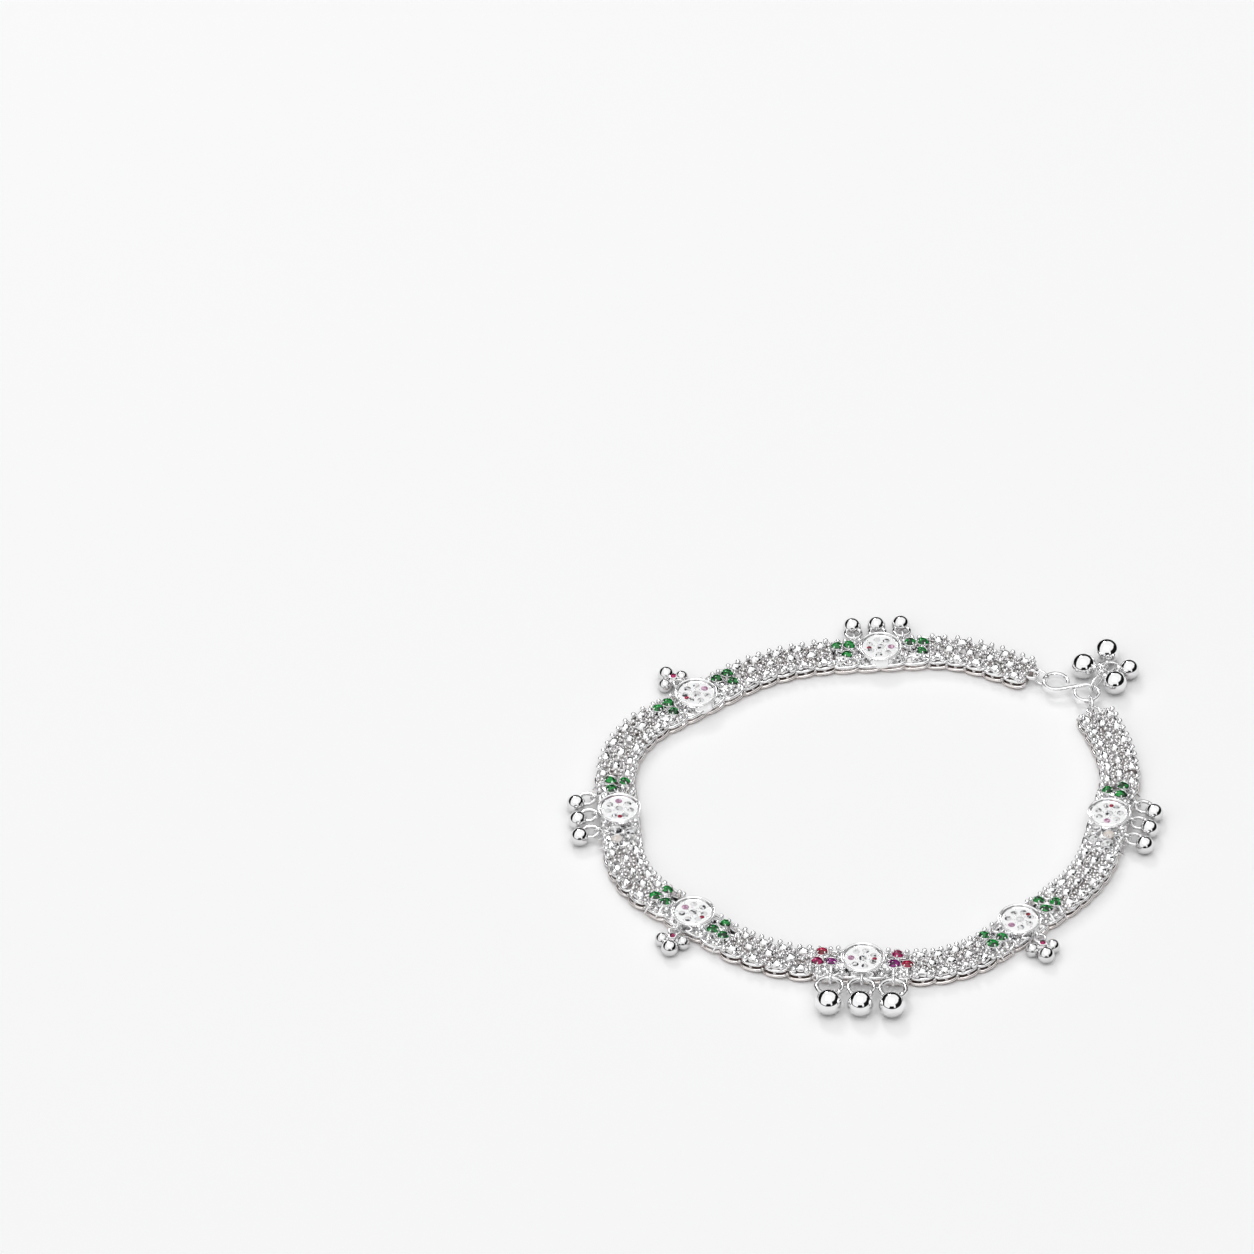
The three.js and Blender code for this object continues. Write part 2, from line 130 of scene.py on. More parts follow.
def lengths_along(points: np.ndarray) -> np.ndarray:
    """The length of a line of points up to each of them."""
    return np.concatenate([[0], np.cumsum(np.linalg.norm(np.diff(points, axis=0), axis=1))])


def round_turns(count: int, step: float = 0) -> np.ndarray:
    """Equal turns once round in radians, of which the first is at a share of a step."""
    return (np.arange(count) + step) * 2 * math.pi / count


def level(x: np.ndarray, y: np.ndarray, z: float = 0) -> np.ndarray:
    """Points at one height."""
    return np.column_stack([x, y, np.full(len(x), z)])


def bowed(turns: np.ndarray, length: float, width: float, power: float) -> tuple[np.ndarray, np.ndarray]:
    """X and Y of an oval at each turn, squarer with a smaller power."""
    c, s = np.cos(turns), np.sin(turns)
    return np.sign(c) * np.abs(c) ** power * length / 2, np.sign(s) * np.abs(s) ** power * width / 2


# Shapes


@dataclass
class Shape:
    """A mesh in the making, in millimetres.

    Args:
        points: One row of x, y, z for each corner.
        faces: Corner numbers of each face.
        smooth: Whether each face is shaded smooth.
    """

    points: np.ndarray
    faces: list[tuple[int, ...]]
    smooth: list[bool]

    def moved(self, *matrices: np.ndarray) -> "Shape":
        """The shape after the matrices, of which the last is used first."""
        matrix = np.linalg.multi_dot(matrices) if len(matrices) > 1 else matrices[0]
        points = self.points @ matrix[:3, :3].T + matrix[:3, 3]
        if np.linalg.det(matrix[:3, :3]) < 0:
            return Shape(points, [face[::-1] for face in self.faces], self.smooth)
        return Shape(points, self.faces, self.smooth)

    def at_each(self, matrices: Iterable[np.ndarray]) -> "Shape":
        """Copies of the shape, one for each matrix, as one shape."""
        return joined(self.moved(matrix) for matrix in matrices)


def joined(shapes: Iterable[Shape]) -> Shape:
    """Several shapes as one."""
    points: list[np.ndarray] = []
    faces: list[tuple[int, ...]] = []
    smooth: list[bool] = []
    start = 0
    for shape in shapes:
        points.append(shape.points)
        faces.extend(tuple(corner + start for corner in face) for face in shape.faces)
        smooth.extend(shape.smooth)
        start += len(shape.points)
    return Shape(np.vstack(points), faces, smooth)


def skin(rings: Sequence[np.ndarray], smooth: bool = True, loop: bool = False) -> Shape:
    """A surface through rings of equally many points.

    Args:
        rings: The rings, each as one row per point; a ring of one point closes the surface to a tip.
        smooth: Whether the sides are shaded smooth.
        loop: Whether the last ring is joined to the first, and not each of them closed with a flat face.

    Returns:
        The closed surface, with its faces outwards if the rings turn left about their direction.
    """
    starts = [0, *np.cumsum([len(ring) for ring in rings]).tolist()]
    faces: list[tuple[int, ...]] = []
    for low in range(len(rings) if loop else len(rings) - 1):
        high = (low + 1) % len(rings)
        a, b, m, n = starts[low], starts[high], len(rings[low]), len(rings[high])
        for i in range(max(m, n)):
            j = (i + 1) % max(m, n)
            if m == 1:
                faces.append((a, b + j, b + i))
            elif n == 1:
                faces.append((a + i, a + j, b))
            else:
                faces.append((a + i, a + j, b + j, b + i))
    flags = [smooth] * len(faces)
    if not loop:
        for start, count, order in ((0, len(rings[0]), -1), (starts[-2], len(rings[-1]), 1)):
            if count > 1:
                faces.append(tuple(range(start, start + count))[::order])
                flags.append(False)
    return Shape(np.vstack(rings), faces, flags)


def circle(radius: float, z: float, sides: int) -> np.ndarray:
    """A level ring of points round Z, or one point for radius 0."""
    if radius == 0:
        return np.array([[0.0, 0.0, z]])
    turns = round_turns(sides)
    return level(radius * np.cos(turns), radius * np.sin(turns), z)


def lathe(rows: Sequence[tuple[float, float]], sides: int = 48, smooth: bool = True) -> Shape:
    """A turned shape from rows of radius and height, from its foot to its top."""
    return skin([circle(radius, z, sides) for radius, z in rows], smooth)


def ball(diameter: float, sides: int = 40, rows: int = 24) -> Shape:
    """A smooth ball round the origin."""
    turns = np.linspace(-math.pi / 2, math.pi / 2, rows + 1)
    radii = [0.0, *(np.cos(turns[1:-1]) * diameter / 2), 0.0]
    return lathe(list(zip(radii, np.sin(turns) * diameter / 2)), sides)


def granule(diameter: float) -> Shape:
    """A small ball with few corners."""
    return ball(diameter, 12, 8)


# Rows that round a wire's end: how far out and how wide, as shares of its radius.
ROUND_END = ((0.5, 0.87), (0.87, 0.5))


def tube(
    path: np.ndarray, wire: float | np.ndarray, sides: int = 10, loop: bool = False, ends: bool = True
) -> Shape:
    """Round wire along a path.

    Args:
        path: The middle of the wire, one row per point.
        wire: The wire's diameter, or one diameter per point.
        sides: Sides round the wire.
        loop: Whether the path closes on itself.
        ends: Whether open ends are rounded.

    Returns:
        The wire.
    """
    along = unit(np.roll(path, -1, 0) - np.roll(path, 1, 0) if loop else np.gradient(path, axis=0))
    radius = np.broadcast_to(np.asarray(wire) / 2, (len(path),))
    side = np.cross(along[0], [0.0, 0.0, 1.0])
    if np.linalg.norm(side) < 0.1:
        side = np.cross(along[0], [0.0, 1.0, 0.0])
    turns = round_turns(sides)
    rings = []
    for point, direction, r in zip(path, along, radius):
        side = unit(side - direction * side.dot(direction))
        up = np.cross(direction, side)
        rings.append(point + r * (np.outer(np.cos(turns), side) + np.outer(np.sin(turns), up)))
    if ends and not loop:
        (head, first), (tail, last) = (path[0], rings[0]), (path[-1], rings[-1])
        out, on = -along[0] * radius[0], along[-1] * radius[-1]
        for reach, share in ROUND_END:
            rings.insert(0, head + out * reach + (first - head) * share)
            rings.append(tail + on * reach + (last - tail) * share)
        rings = [(head + out)[None], *rings, (tail + on)[None]]
    return skin(rings, loop=loop)


def ring(diameter: float, wire: float, sides: int = 36, round_wire: int = 12) -> Shape:
    """A ring of round wire that lies flat round the origin; its diameter is at the middle of the wire."""
    return tube(circle(diameter / 2, 0, sides), wire, round_wire, loop=True)


def oval(length: float, width: float, wire: float) -> Shape:
    """A flat wire loop with straight sides and round ends, along X."""
    turns = round_turns(32, 0.5)
    x = width / 2 * np.cos(turns) + (length - width) / 2 * np.sign(np.cos(turns))
    return tube(level(x, width / 2 * np.sin(turns)), wire, 12, loop=True)


def arched(length: float, width: float, wire: float) -> Shape:
    """A flat wire loop along X whose sides are bowed like a lens."""
    return tube(level(*bowed(round_turns(24), length, width, 0.85)), wire, 8, loop=True)


# Corners of a brilliant's star facets and lower halves: how far out, and their share of its height.
STAR_OUT, STAR_RISE = 0.02, 0.52
HALF_OUT, HALF_DROP = 0.42, 0.62


def brilliant(diameter: float, crown: float, depth: float, table: float = 0.56) -> Shape:
    """A round brilliant with its girdle at height 0: 8 mains, 8 stars and 32 halves."""
    r = diameter / 2
    eighth = [45.0 * i for i in range(8)]

    def spots(share: float, z: float, turns: Iterable[float]) -> list[list[float]]:
        return [[*(towards(t) * r * share), z] for t in turns]

    points = spots(table, crown, eighth)
    points += spots((1 + table) / 2 + STAR_OUT, crown * STAR_RISE, [t + 22.5 for t in eighth])
    points += spots(1, 0, [22.5 * i for i in range(16)])
    points += spots(HALF_OUT, -depth * HALF_DROP, [t + 22.5 for t in eighth])
    points.append([0, 0, -depth])
    faces: list[tuple[int, ...]] = [tuple(range(8))]
    for i in range(8):
        j, before = (i + 1) % 8, (i - 1) % 8
        g0, g1, g2 = 16 + 2 * i, 17 + 2 * i, 16 + (2 * i + 2) % 16
        star, mid, low = 8 + i, 8 + before, 32 + i
        faces += [(i, star, j), (i, mid, g0, star), (star, g0, g1), (star, g1, g2)]
        faces += [(g0, low, g1), (g1, low, g2), (g0, 32 + before, 40, low)]
    return Shape(np.array(points, float), faces, [False] * len(faces))


def slab(outline: np.ndarray, low: float, high: float, round_off: float) -> Shape:
    """A flat outline raised to a plate with eased edges.

    Args:
        outline: Points round the plate, turning left.
        low: Height of its underside.
        high: Height of its top.
        round_off: How far its edges are eased.

    Returns:
        The plate.
    """
    inwards = left_of(unit(np.roll(outline, -1, 0) - np.roll(outline, 1, 0)))
    e, bit = round_off, round_off * 0.3
    rows = [(e, low), (bit, low + bit), (0, low + e), (0, high - e), (bit, high - bit), (e, high)]
    return skin([level(*(outline + inwards * inset).T, z) for inset, z in rows])


# Rows of a dome: share of its width, share of its rise, and how many steps its corners are turned on.
DOME_ROWS = (
    (0.86, -0.35, 0), (0.98, 0.02, 0), (1.0, 0.22, 0), (0.86, 0.58, 0.5), (0.52, 0.88, 0), (0.2, 1.0, 0.5),
)  # fmt: skip


def cushion(length: float, width: float, rise: float) -> Shape:
    """A faceted dome that stands on height 0, with its foot a little below and its facets staggered."""
    rings = []
    for share, z, step in DOME_ROWS:
        x, y = bowed(round_turns(8, 0.5 + step), share * length, share * width, 0.7)
        rings.append(level(x, y, z * rise))
    shape = skin(rings, smooth=False)
    faces: list[tuple[int, ...]] = []
    for face in shape.faces:
        faces += [(face[0], face[1], face[3]), face[1:]] if len(face) == 4 else [face]
    return Shape(shape.points, faces, [False] * len(faces))


def leaf(length: float, width: float, thick: float) -> Shape:
    """A long pointed petal along +X with a rounded back."""
    turns = round_turns(8)
    rings = []
    for share in np.linspace(0, 1, 9):
        half = width / 2 * (0.32 + 0.68 * math.sin(math.pi * (0.12 + 0.83 * share)) ** 1.3)
        ring_points = level(half * np.cos(turns), thick / 2 * np.sin(turns), share * length)
        rings.append(ring_points[:, [2, 0, 1]])
    return skin(rings)


# Finishes


class Metal(Enum):
    """The ways in which the silver is finished."""

    POLISHED = "polished"
    CAST = "cast"
    WIRE = "wire"
    # Smooth silver of the balls, with painted shade: grey over their lower part, up to 3 mm high.
    BURNISHED_SHADED = "burnished_shaded"
    # Dark silver that stands in for shade: painted shade in the band's gaps, in the rim's groove and under
    # the small stones.
    SHADED = "shaded"


class Stone(Enum):
    """The colours of the cut stones."""

    CLEAR = "clear"
    GREEN = "green"
    PINK = "pink"
    RED = "red"
    PURPLE = "purple"
    LILAC = "lilac"
    PEACH = "peach"


@dataclass(frozen=True)
class MetalFinish:
    """One finish of silver.

    Args:
        high: Colour high up, where the metal is painted lighter as if better lit.
        low: Painted shade: the darker colour low down, near the surface that it lies on, and in crevices.
        low_height: Height below which the painted shade is full, in millimetres.
        high_height: Height above which the high colour is full, in millimetres.
        roughness: Mean roughness.
        uneven: How much the roughness changes over the surface.
        grain: Height of the fine grain, as a share.
        grain_size: Grains to the metre.
    """

    high: tuple[float, float, float]
    low: tuple[float, float, float]
    low_height: float
    high_height: float
    roughness: float
    uneven: float
    grain: float
    grain_size: float


@dataclass(frozen=True)
class StoneFinish:
    """One colour of cut stone.

    Args:
        colour: Colour in the depth of the stone.
        painted_glint: Painted glints: a second colour that some cells of the stone take in place of the
            reflections in its facets.
        spread: How much of the stone takes the second colour.
        transmission: How far light passes through.
        slot: The record's material slot. Not used.
    """

    colour: tuple[float, float, float]
    painted_glint: tuple[float, float, float]
    spread: float
    transmission: float
    slot: str


# Each finish fades from its low colour to its high colour with height: painted shade, darker towards the
# surface it lies on and in crevices, lighter high up.
METALS = {
    Metal.POLISHED: MetalFinish((0.95, 0.95, 0.955), (0.83, 0.82, 0.82), 0.2, 1.8, 0.03, 0.03, 0.01, 900),
    Metal.CAST: MetalFinish((0.97, 0.97, 0.975), (0.62, 0.6, 0.595), 1.7, 2.5, 0.13, 0.1, 0.1, 2600),
    Metal.WIRE: MetalFinish((0.96, 0.96, 0.965), (0.82, 0.75, 0.72), 0.3, 1.4, 0.08, 0.06, 0.05, 2600),
    Metal.BURNISHED_SHADED: MetalFinish((0.95, 0.95, 0.955), (0.56, 0.55, 0.55), 0.3, 3.0, 0.03, 0.03, 0.01, 900),
    Metal.SHADED: MetalFinish((0.5, 0.49, 0.49), (0.24, 0.19, 0.175), 1.5, 1.75, 0.3, 0.1, 0.2, 3000),
}

# Each stone's second colour is painted glints in place of reflections in its facets: darker in the clear
# stone, lighter in the others.
STONES = {
    Stone.CLEAR: StoneFinish((0.85, 0.85, 0.86), (0.03, 0.03, 0.035), 0.4, 0.1, "clear_stone"),
    Stone.GREEN: StoneFinish((0.0, 0.03, 0.006), (0.001, 0.3, 0.04), 0.55, 0.0, "green_stone"),
    Stone.PINK: StoneFinish((0.12, 0.0, 0.03), (0.52, 0.005, 0.14), 0.6, 0.0, "pink_stone"),
    Stone.RED: StoneFinish((0.15, 0.0, 0.01), (0.48, 0.004, 0.06), 0.6, 0.0, "pink_stone"),
    Stone.PURPLE: StoneFinish((0.06, 0.0, 0.05), (0.3, 0.005, 0.22), 0.6, 0.0, "pink_stone"),
    Stone.LILAC: StoneFinish((0.42, 0.2, 0.33), (0.85, 0.6, 0.75), 0.5, 0.2, "pink_stone"),
    Stone.PEACH: StoneFinish((0.85, 0.76, 0.7), (0.92, 0.89, 0.87), 0.5, 0.2, "clear_stone"),
}


class Nodes:
    """A tree of shader nodes in the making."""

    def __init__(self, tree: bpy.types.NodeTree) -> None:
        self.tree = tree

    def feed(self, node: bpy.types.Node, inputs: dict[str | int, object]) -> None:
        """Gives inputs of a node a number, a colour or the output of another node."""
        for name, value in inputs.items():
            if isinstance(value, bpy.types.NodeSocket):
                self.tree.links.new(value, node.inputs[name])
            else:
                node.inputs[name].default_value = (*value, 1) if isinstance(value, tuple) else value

    def add(self, kind: str, inputs: dict[str | int, object] | None = None) -> bpy.types.NodeOutputs:
        """Adds a node.

        Args:
            kind: Its type, without the word ShaderNode.
            inputs: What its inputs are given, by name or number.

        Returns:
            Its outputs.
        """
        node = self.tree.nodes.new(f"ShaderNode{kind}")
        if kind == "Mix":
            node.data_type = "RGBA"
        self.feed(node, inputs or {})
        return node.outputs

    def use(self, group: bpy.types.NodeTree, inputs: dict[str | int, object]) -> bpy.types.NodeOutputs:
        """Adds a node group and gives back its outputs."""
        node = self.tree.nodes.new("ShaderNodeGroup")
        node.node_tree = group
        self.feed(node, inputs)
        return node.outputs

    def sum_of(self, operation: str, *terms: object) -> bpy.types.NodeSocket:
        """The result of a sum whose terms are sockets or numbers."""
        node = self.tree.nodes.new("ShaderNodeMath")
        node.operation = operation
        self.feed(node, dict(enumerate(terms)))
        return node.outputs[0]

    def rise(self, value: bpy.types.NodeSocket, low: object, high: object) -> bpy.types.NodeSocket:
        """A value spread from 0 to 1 between two limits."""
        return self.add("MapRange", {"Value": value, "From Min": low, "From Max": high})["Result"]

    def mixed(self, share: bpy.types.NodeSocket, first: object, second: object) -> bpy.types.NodeSocket:
        """A colour between two others."""
        return self.add("Mix", {"Factor": share, "A": first, "B": second})["Result"]


# Features to the metre of the patches in the painted shade and of the smudges on the silver, and of the
# painted glints in the stones.
PATCH_SCALE, SMUDGE_SCALE, FACET_SCALE = 420, 260, 2500
# How far a patch moves the height at which the painted shade begins, in metres, and where a smudge begins and
# is full.
PATCH_RISE = 0.0009
SMUDGE_RANGE = (0.35, 0.7)
FACET_BLEND = 0.25
BUMP_HEIGHT = 0.05 * MM


class Finishes:
    """Makes the materials, and the node groups that they share."""

    def __init__(self) -> None:
        self.shade_by_height = self._painted_shade_group()
        self.grain = self._grain_group()
        self.facets = self._painted_glints_group()
        self.made = {kind: self._metal(kind, finish) for kind, finish in METALS.items()}
        self.made |= {kind: self._stone(kind, finish) for kind, finish in STONES.items()}
        log.info("finishes: %d metals and %d stones", len(METALS), len(STONES))

    @staticmethod
    def _group(name: str, inputs: dict[str, object]) -> tuple[Nodes, bpy.types.NodeOutputs]:
        """An empty node group with its inputs.

        Args:
            name: Name of the group.
            inputs: Each input's name with its first value: a number, or a colour as a tuple.

        Returns:
            The group's nodes, and the sockets that bring the inputs.
        """
        tree = bpy.data.node_groups.new(name, "ShaderNodeTree")
        for socket, value in inputs.items():
            kind = "NodeSocketColor" if isinstance(value, tuple) else "NodeSocketFloat"
            made = tree.interface.new_socket(socket, in_out="INPUT", socket_type=kind)
            made.default_value = (*value, 1.0) if isinstance(value, tuple) else value
        return Nodes(tree), tree.nodes.new("NodeGroupInput").outputs

    @staticmethod
    def _put_out(nodes: Nodes, results: dict[str, bpy.types.NodeSocket]) -> bpy.types.NodeTree:
        """Makes the colours and values that a group puts out, and gives back the group."""
        for name, result in results.items():
            kind = "NodeSocketColor" if result.type == "RGBA" else "NodeSocketFloat"
            nodes.tree.interface.new_socket(name, in_out="OUTPUT", socket_type=kind)
        nodes.feed(nodes.tree.nodes.new("NodeGroupOutput"), results)
        return nodes.tree

    def _painted_shade_group(self) -> bpy.types.NodeTree:
        """Painted shade: a colour that goes from the low colour to the high one with height, with some noise.
        """
        white = (1.0, 1.0, 1.0)
        nodes, given = self._group("painted_shade_by_height", {"High": white, "Low": white, "From": 0.0, "To": 1.0})
        place = nodes.add("TexCoord")["Object"]
        patches = nodes.add("TexNoise", {"Vector": place, "Scale": PATCH_SCALE, "Detail": 2})["Fac"]
        spread = nodes.sum_of("MULTIPLY_ADD", patches, PATCH_RISE, -PATCH_RISE / 2)
        height = nodes.sum_of("ADD", nodes.add("SeparateXYZ", {0: place})["Z"], spread)
        share = nodes.rise(height, given["From"], given["To"])
        return self._put_out(nodes, {"Colour": nodes.mixed(share, given["Low"], given["High"])})

    def _grain_group(self) -> bpy.types.NodeTree:
        """Fine grain as a height and an uneven roughness."""
        nodes, given = self._group("metal_grain", {"Size": 1000.0, "Roughness": 0.1, "Uneven": 0.05})
        place = nodes.add("TexCoord")["Object"]
        fine = nodes.add("TexNoise", {"Vector": place, "Scale": given["Size"], "Detail": 3})["Fac"]
        broad = nodes.add("TexNoise", {"Vector": place, "Scale": SMUDGE_SCALE, "Detail": 2})["Fac"]
        change = nodes.rise(broad, *SMUDGE_RANGE)
        roughness = nodes.sum_of("MULTIPLY_ADD", change, given["Uneven"], given["Roughness"])
        return self._put_out(nodes, {"Height": fine, "Roughness": roughness})

    def _painted_glints_group(self) -> bpy.types.NodeTree:
        """Painted glints: a stone's colour, which changes from cell to cell between its depth colour and a
        second one in place of the reflections in its facets.
        """
        first = {"Depth": (0.0, 0.0, 0.0), "Painted Glint": (1.0, 1.0, 1.0), "Spread": 0.5}
        nodes, given = self._group("painted_facet_glints", first)
        place = nodes.add("TexCoord")["Object"]
        cells = nodes.add("TexVoronoi", {"Vector": place, "Scale": FACET_SCALE})["Color"]
        chance = nodes.add("SeparateColor", {0: cells})["Red"]
        edge = nodes.sum_of("SUBTRACT", 1.0, given["Spread"])
        share = nodes.rise(chance, edge, nodes.sum_of("ADD", edge, FACET_BLEND))
        return self._put_out(nodes, {"Colour": nodes.mixed(share, given["Depth"], given["Painted Glint"])})

    @staticmethod
    def _new(name: str) -> tuple[bpy.types.Material, Nodes, bpy.types.Node]:
        """A new material with its nodes and its shader."""
        material = bpy.data.materials.new(name)
        material.use_nodes = True
        return material, Nodes(material.node_tree), material.node_tree.nodes["Principled BSDF"]

    def _metal(self, kind: Metal, finish: MetalFinish) -> bpy.types.Material:
        """One finish of silver."""
        material, nodes, shader = self._new(f"silver_{kind.value}")
        # The base colour is painted shade by height: darker low down and in crevices, lighter high up.
        heights = {"From": finish.low_height * MM, "To": finish.high_height * MM}
        tint = nodes.use(self.shade_by_height, {"High": finish.high, "Low": finish.low, **heights})
        roughness = {"Roughness": finish.roughness, "Uneven": finish.uneven}
        grain = nodes.use(self.grain, {"Size": finish.grain_size, **roughness})
        relief = {"Strength": finish.grain, "Distance": BUMP_HEIGHT, "Height": grain["Height"]}
        nodes.feed(shader, {"Metallic": 1, "Base Color": tint["Colour"], "Roughness": grain["Roughness"]})
        nodes.feed(shader, {"Normal": nodes.add("Bump", relief)["Normal"]})
        return material

    def _stone(self, kind: Stone, finish: StoneFinish) -> bpy.types.Material:
        """One colour of stone."""
        material, nodes, shader = self._new(f"stone_{kind.value}")
        # Painted glints: cells of each stone take a second colour in place of the reflections in its facets.
        colours = {"Depth": finish.colour, "Painted Glint": finish.painted_glint, "Spread": finish.spread}
        facets = nodes.use(self.facets, colours)
        nodes.feed(shader, {"Base Color": facets["Colour"], "Transmission Weight": finish.transmission})
        nodes.feed(shader, {"Roughness": 0.04, "IOR": 1.5})
        return material


SHARP_ANGLE = 50.0


class Workshop:
    """Turns shapes into pieces that ride on the frame."""

    def __init__(self, finishes: Finishes) -> None:
        self.finishes = finishes
        self.origin = np.zeros(2)
        self.count = 0

    def place(self, point: Sequence[float], bearing: float) -> np.ndarray:
        """The matrix of a flat point on the route and a bearing, in the row frame."""
        x, y = np.asarray(point) + self.origin
        return shift(x, y) @ turn_z(bearing)

    def piece(self, name: str, shape: Shape, finish: Metal | Stone, node: str) -> bpy.types.Object:
        """Writes a shape as a piece that stands for a CAD node.

        Args:
            name: The piece's name.
            shape: The shape, in the row frame.
            finish: Its metal or stone.
            node: The node that it stands for.

        Returns:
            The piece.
        """
        mesh = bpy.data.meshes.new(name)
        mesh.from_pydata((shape.points * MM).tolist(), [], shape.faces)
        mesh.polygons.foreach_set("use_smooth", shape.smooth)
        mesh.set_sharp_from_angle(angle=math.radians(SHARP_ANGLE))
        mesh.update()
        mesh.materials.append(self.finishes.made[finish])
        made = bpy.data.objects.new(name, mesh)
        bpy.context.scene.collection.objects.link(made)
        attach(made, BODY)
        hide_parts(node)
        self.count += 1
        return made


# The route and what lies on it

LOOP_LENGTH = 254.0
LINK_GAP = 0.15
# Points worked out along the route and along each band, and the length that gives the first end's direction.
ROUTE_STEPS = 1000
BAND_STEPS = 200
END_STEP = 3.3
ROUTE = np.array(
    [
        [37.8, 16.4], [40.9, 4.2], [40.5, -7.5], [37.2, -18.2], [28.7, -31.4], [15.1, -42.8],
        [-0.7, -45.3], [-16.0, -42.0], [-27.8, -34.8], [-37.2, -24.0], [-41.0, -8.6], [-40.3, 2.4],
        [-36.2, 12.3], [-27.9, 20.5], [-16.4, 27.1], [-3.3, 31.2], [9.9, 32.1], [21.4, 29.6],
        [31.5, 24.4],
    ]
)  # fmt: skip


class Hangs(Enum):
    """What hangs from a station."""

    SMALL = "small"
    LARGE = "large"
    DROP = "drop"


@dataclass(frozen=True)
class StationPlan:
    """One station.

    Args:
        share: Its place as a share of the loop's length.
        hangs: What hangs from it.
        lean: How far that leans towards the loop's end, in degrees.
        far: Stones of the trio on the side of the loop's start.
        near: Stones of the trio on the side of the loop's end.
    """

    share: float
    hangs: Hangs
    lean: float
    far: tuple[Stone, Stone, Stone]
    near: tuple[Stone, Stone, Stone]


GREENS = (Stone.GREEN, Stone.GREEN, Stone.GREEN)
CLEARS = (Stone.CLEAR, Stone.PEACH, Stone.CLEAR)
REDS = (Stone.PURPLE, Stone.RED, Stone.PINK)
PINKS = (Stone.PINK, Stone.PURPLE, Stone.RED)
STATIONS = (
    StationPlan(0.106, Hangs.SMALL, 22, GREENS, CLEARS),
    StationPlan(0.227, Hangs.DROP, 28, GREENS, GREENS),
    StationPlan(0.34, Hangs.LARGE, 0, REDS, PINKS),
    StationPlan(0.46, Hangs.DROP, -28, GREENS, GREENS),
    StationPlan(0.575, Hangs.SMALL, -22, CLEARS, GREENS),
    StationPlan(0.707, Hangs.DROP, 0, GREENS, GREENS),
    StationPlan(0.839, Hangs.SMALL, 0, GREENS, GREENS),
)
# The CAD node in whose middle the third station's middle lies.
ANCHOR_NODE, ANCHOR_STATION = "crystal_3", 2


@dataclass(frozen=True)
class ClaspSizes:
    """Sizes and bearings of the clasp, as in the CAD model."""

    band_eye: float = 2.0
    band_eye_wire: float = 0.55
    band_eye_out: float = 0.5
    end_ring: float = 2.8
    end_ring_wire: float = 0.5
    hook_width: float = 4.6
    hook_length: float = 10.4
    strip: float = 0.6
    hook_height: float = 1.2
    mouth: float = 58.0
    first_bearing: float = 103.0
    hook_bearing: float = 151.0
    last_bearing: float = 151.0
    link_length: float = 6.1
    link_wire: float = 0.5
    link_height: float = 2.1
    ring_wire: float = 0.4
    strip_ease: float = 0.16
    arc_steps: int = 40

    @property
    def hook_middle(self) -> float:
        """Radius of the middle of the hook's strip."""
        return (self.hook_width - self.strip) / 2

    @property
    def hook_reach(self) -> float:
        """From the hook's middle to the centre of either loop."""
        return (self.hook_length - self.hook_width) / 2

    @property
    def ring_height(self) -> float:
        """Height of the middle of the standing rings."""
        return (self.end_ring + self.end_ring_wire) / 2

    @property
    def loop_distance(self) -> float:
        """From a band eye's centre to the centre of the hook's loop."""
        slack = (self.band_eye - self.band_eye_wire) / 2 - self.end_ring_wire - 2 * LINK_GAP
        return slack + self.end_ring - self.strip / 2 + self.hook_middle


@dataclass(frozen=True)
class PlateSizes:
    """Sizes of a station and of the band on both sides of it, as in the CAD model."""

    width: float = 7.0
    length: float = 15.5
    thick: float = 1.3
    cup: float = 3.3
    eye_height: float = 1.9
    trio_place: float = 6.15
    trio_ring: float = 1.45
    trio_top: float = 3.3
    crown: float = 0.4
    lobes: int = 4
    lobe_depth: float = 0.2
    edge_inset: float = 0.85
    foot: float = 0.08
    ease: float = 0.12


PLATE = PlateSizes()
CLASP = ClaspSizes()


class BandLine:
    """The middle line of one length of band."""

    def __init__(self, start: np.ndarray, leaving: np.ndarray, end: np.ndarray, arriving: np.ndarray) -> None:
        pull = float(np.linalg.norm(end - start)) / 3
        self.knots = np.array([start, start + leaving * pull, end - arriving * pull, end])
        self.steps = np.linspace(0, 1, BAND_STEPS + 1)
        self.lengths = lengths_along(np.array([self._point(t) for t in self.steps]))
        self.length = float(self.lengths[-1])

    def _point(self, t: float) -> np.ndarray:
        """The curve's point at its own parameter."""
        a, b, c, d = self.knots
        return (1 - t) ** 3 * a + 3 * (1 - t) ** 2 * t * b + 3 * (1 - t) * t**2 * c + t**3 * d

    def at(self, share: float, out: float = 0) -> tuple[np.ndarray, float]:
        """The point at a share of the length and a distance to the outer side, and the bearing there."""
        t = float(np.interp(share * self.length, self.lengths, self.steps))
        a, b, c, d = self.knots
        along = unit(3 * (1 - t) ** 2 * (b - a) + 6 * (1 - t) * t * (c - b) + 3 * t**2 * (d - c))
        return self._point(t) + left_of(along) * out, bearing_of(along)


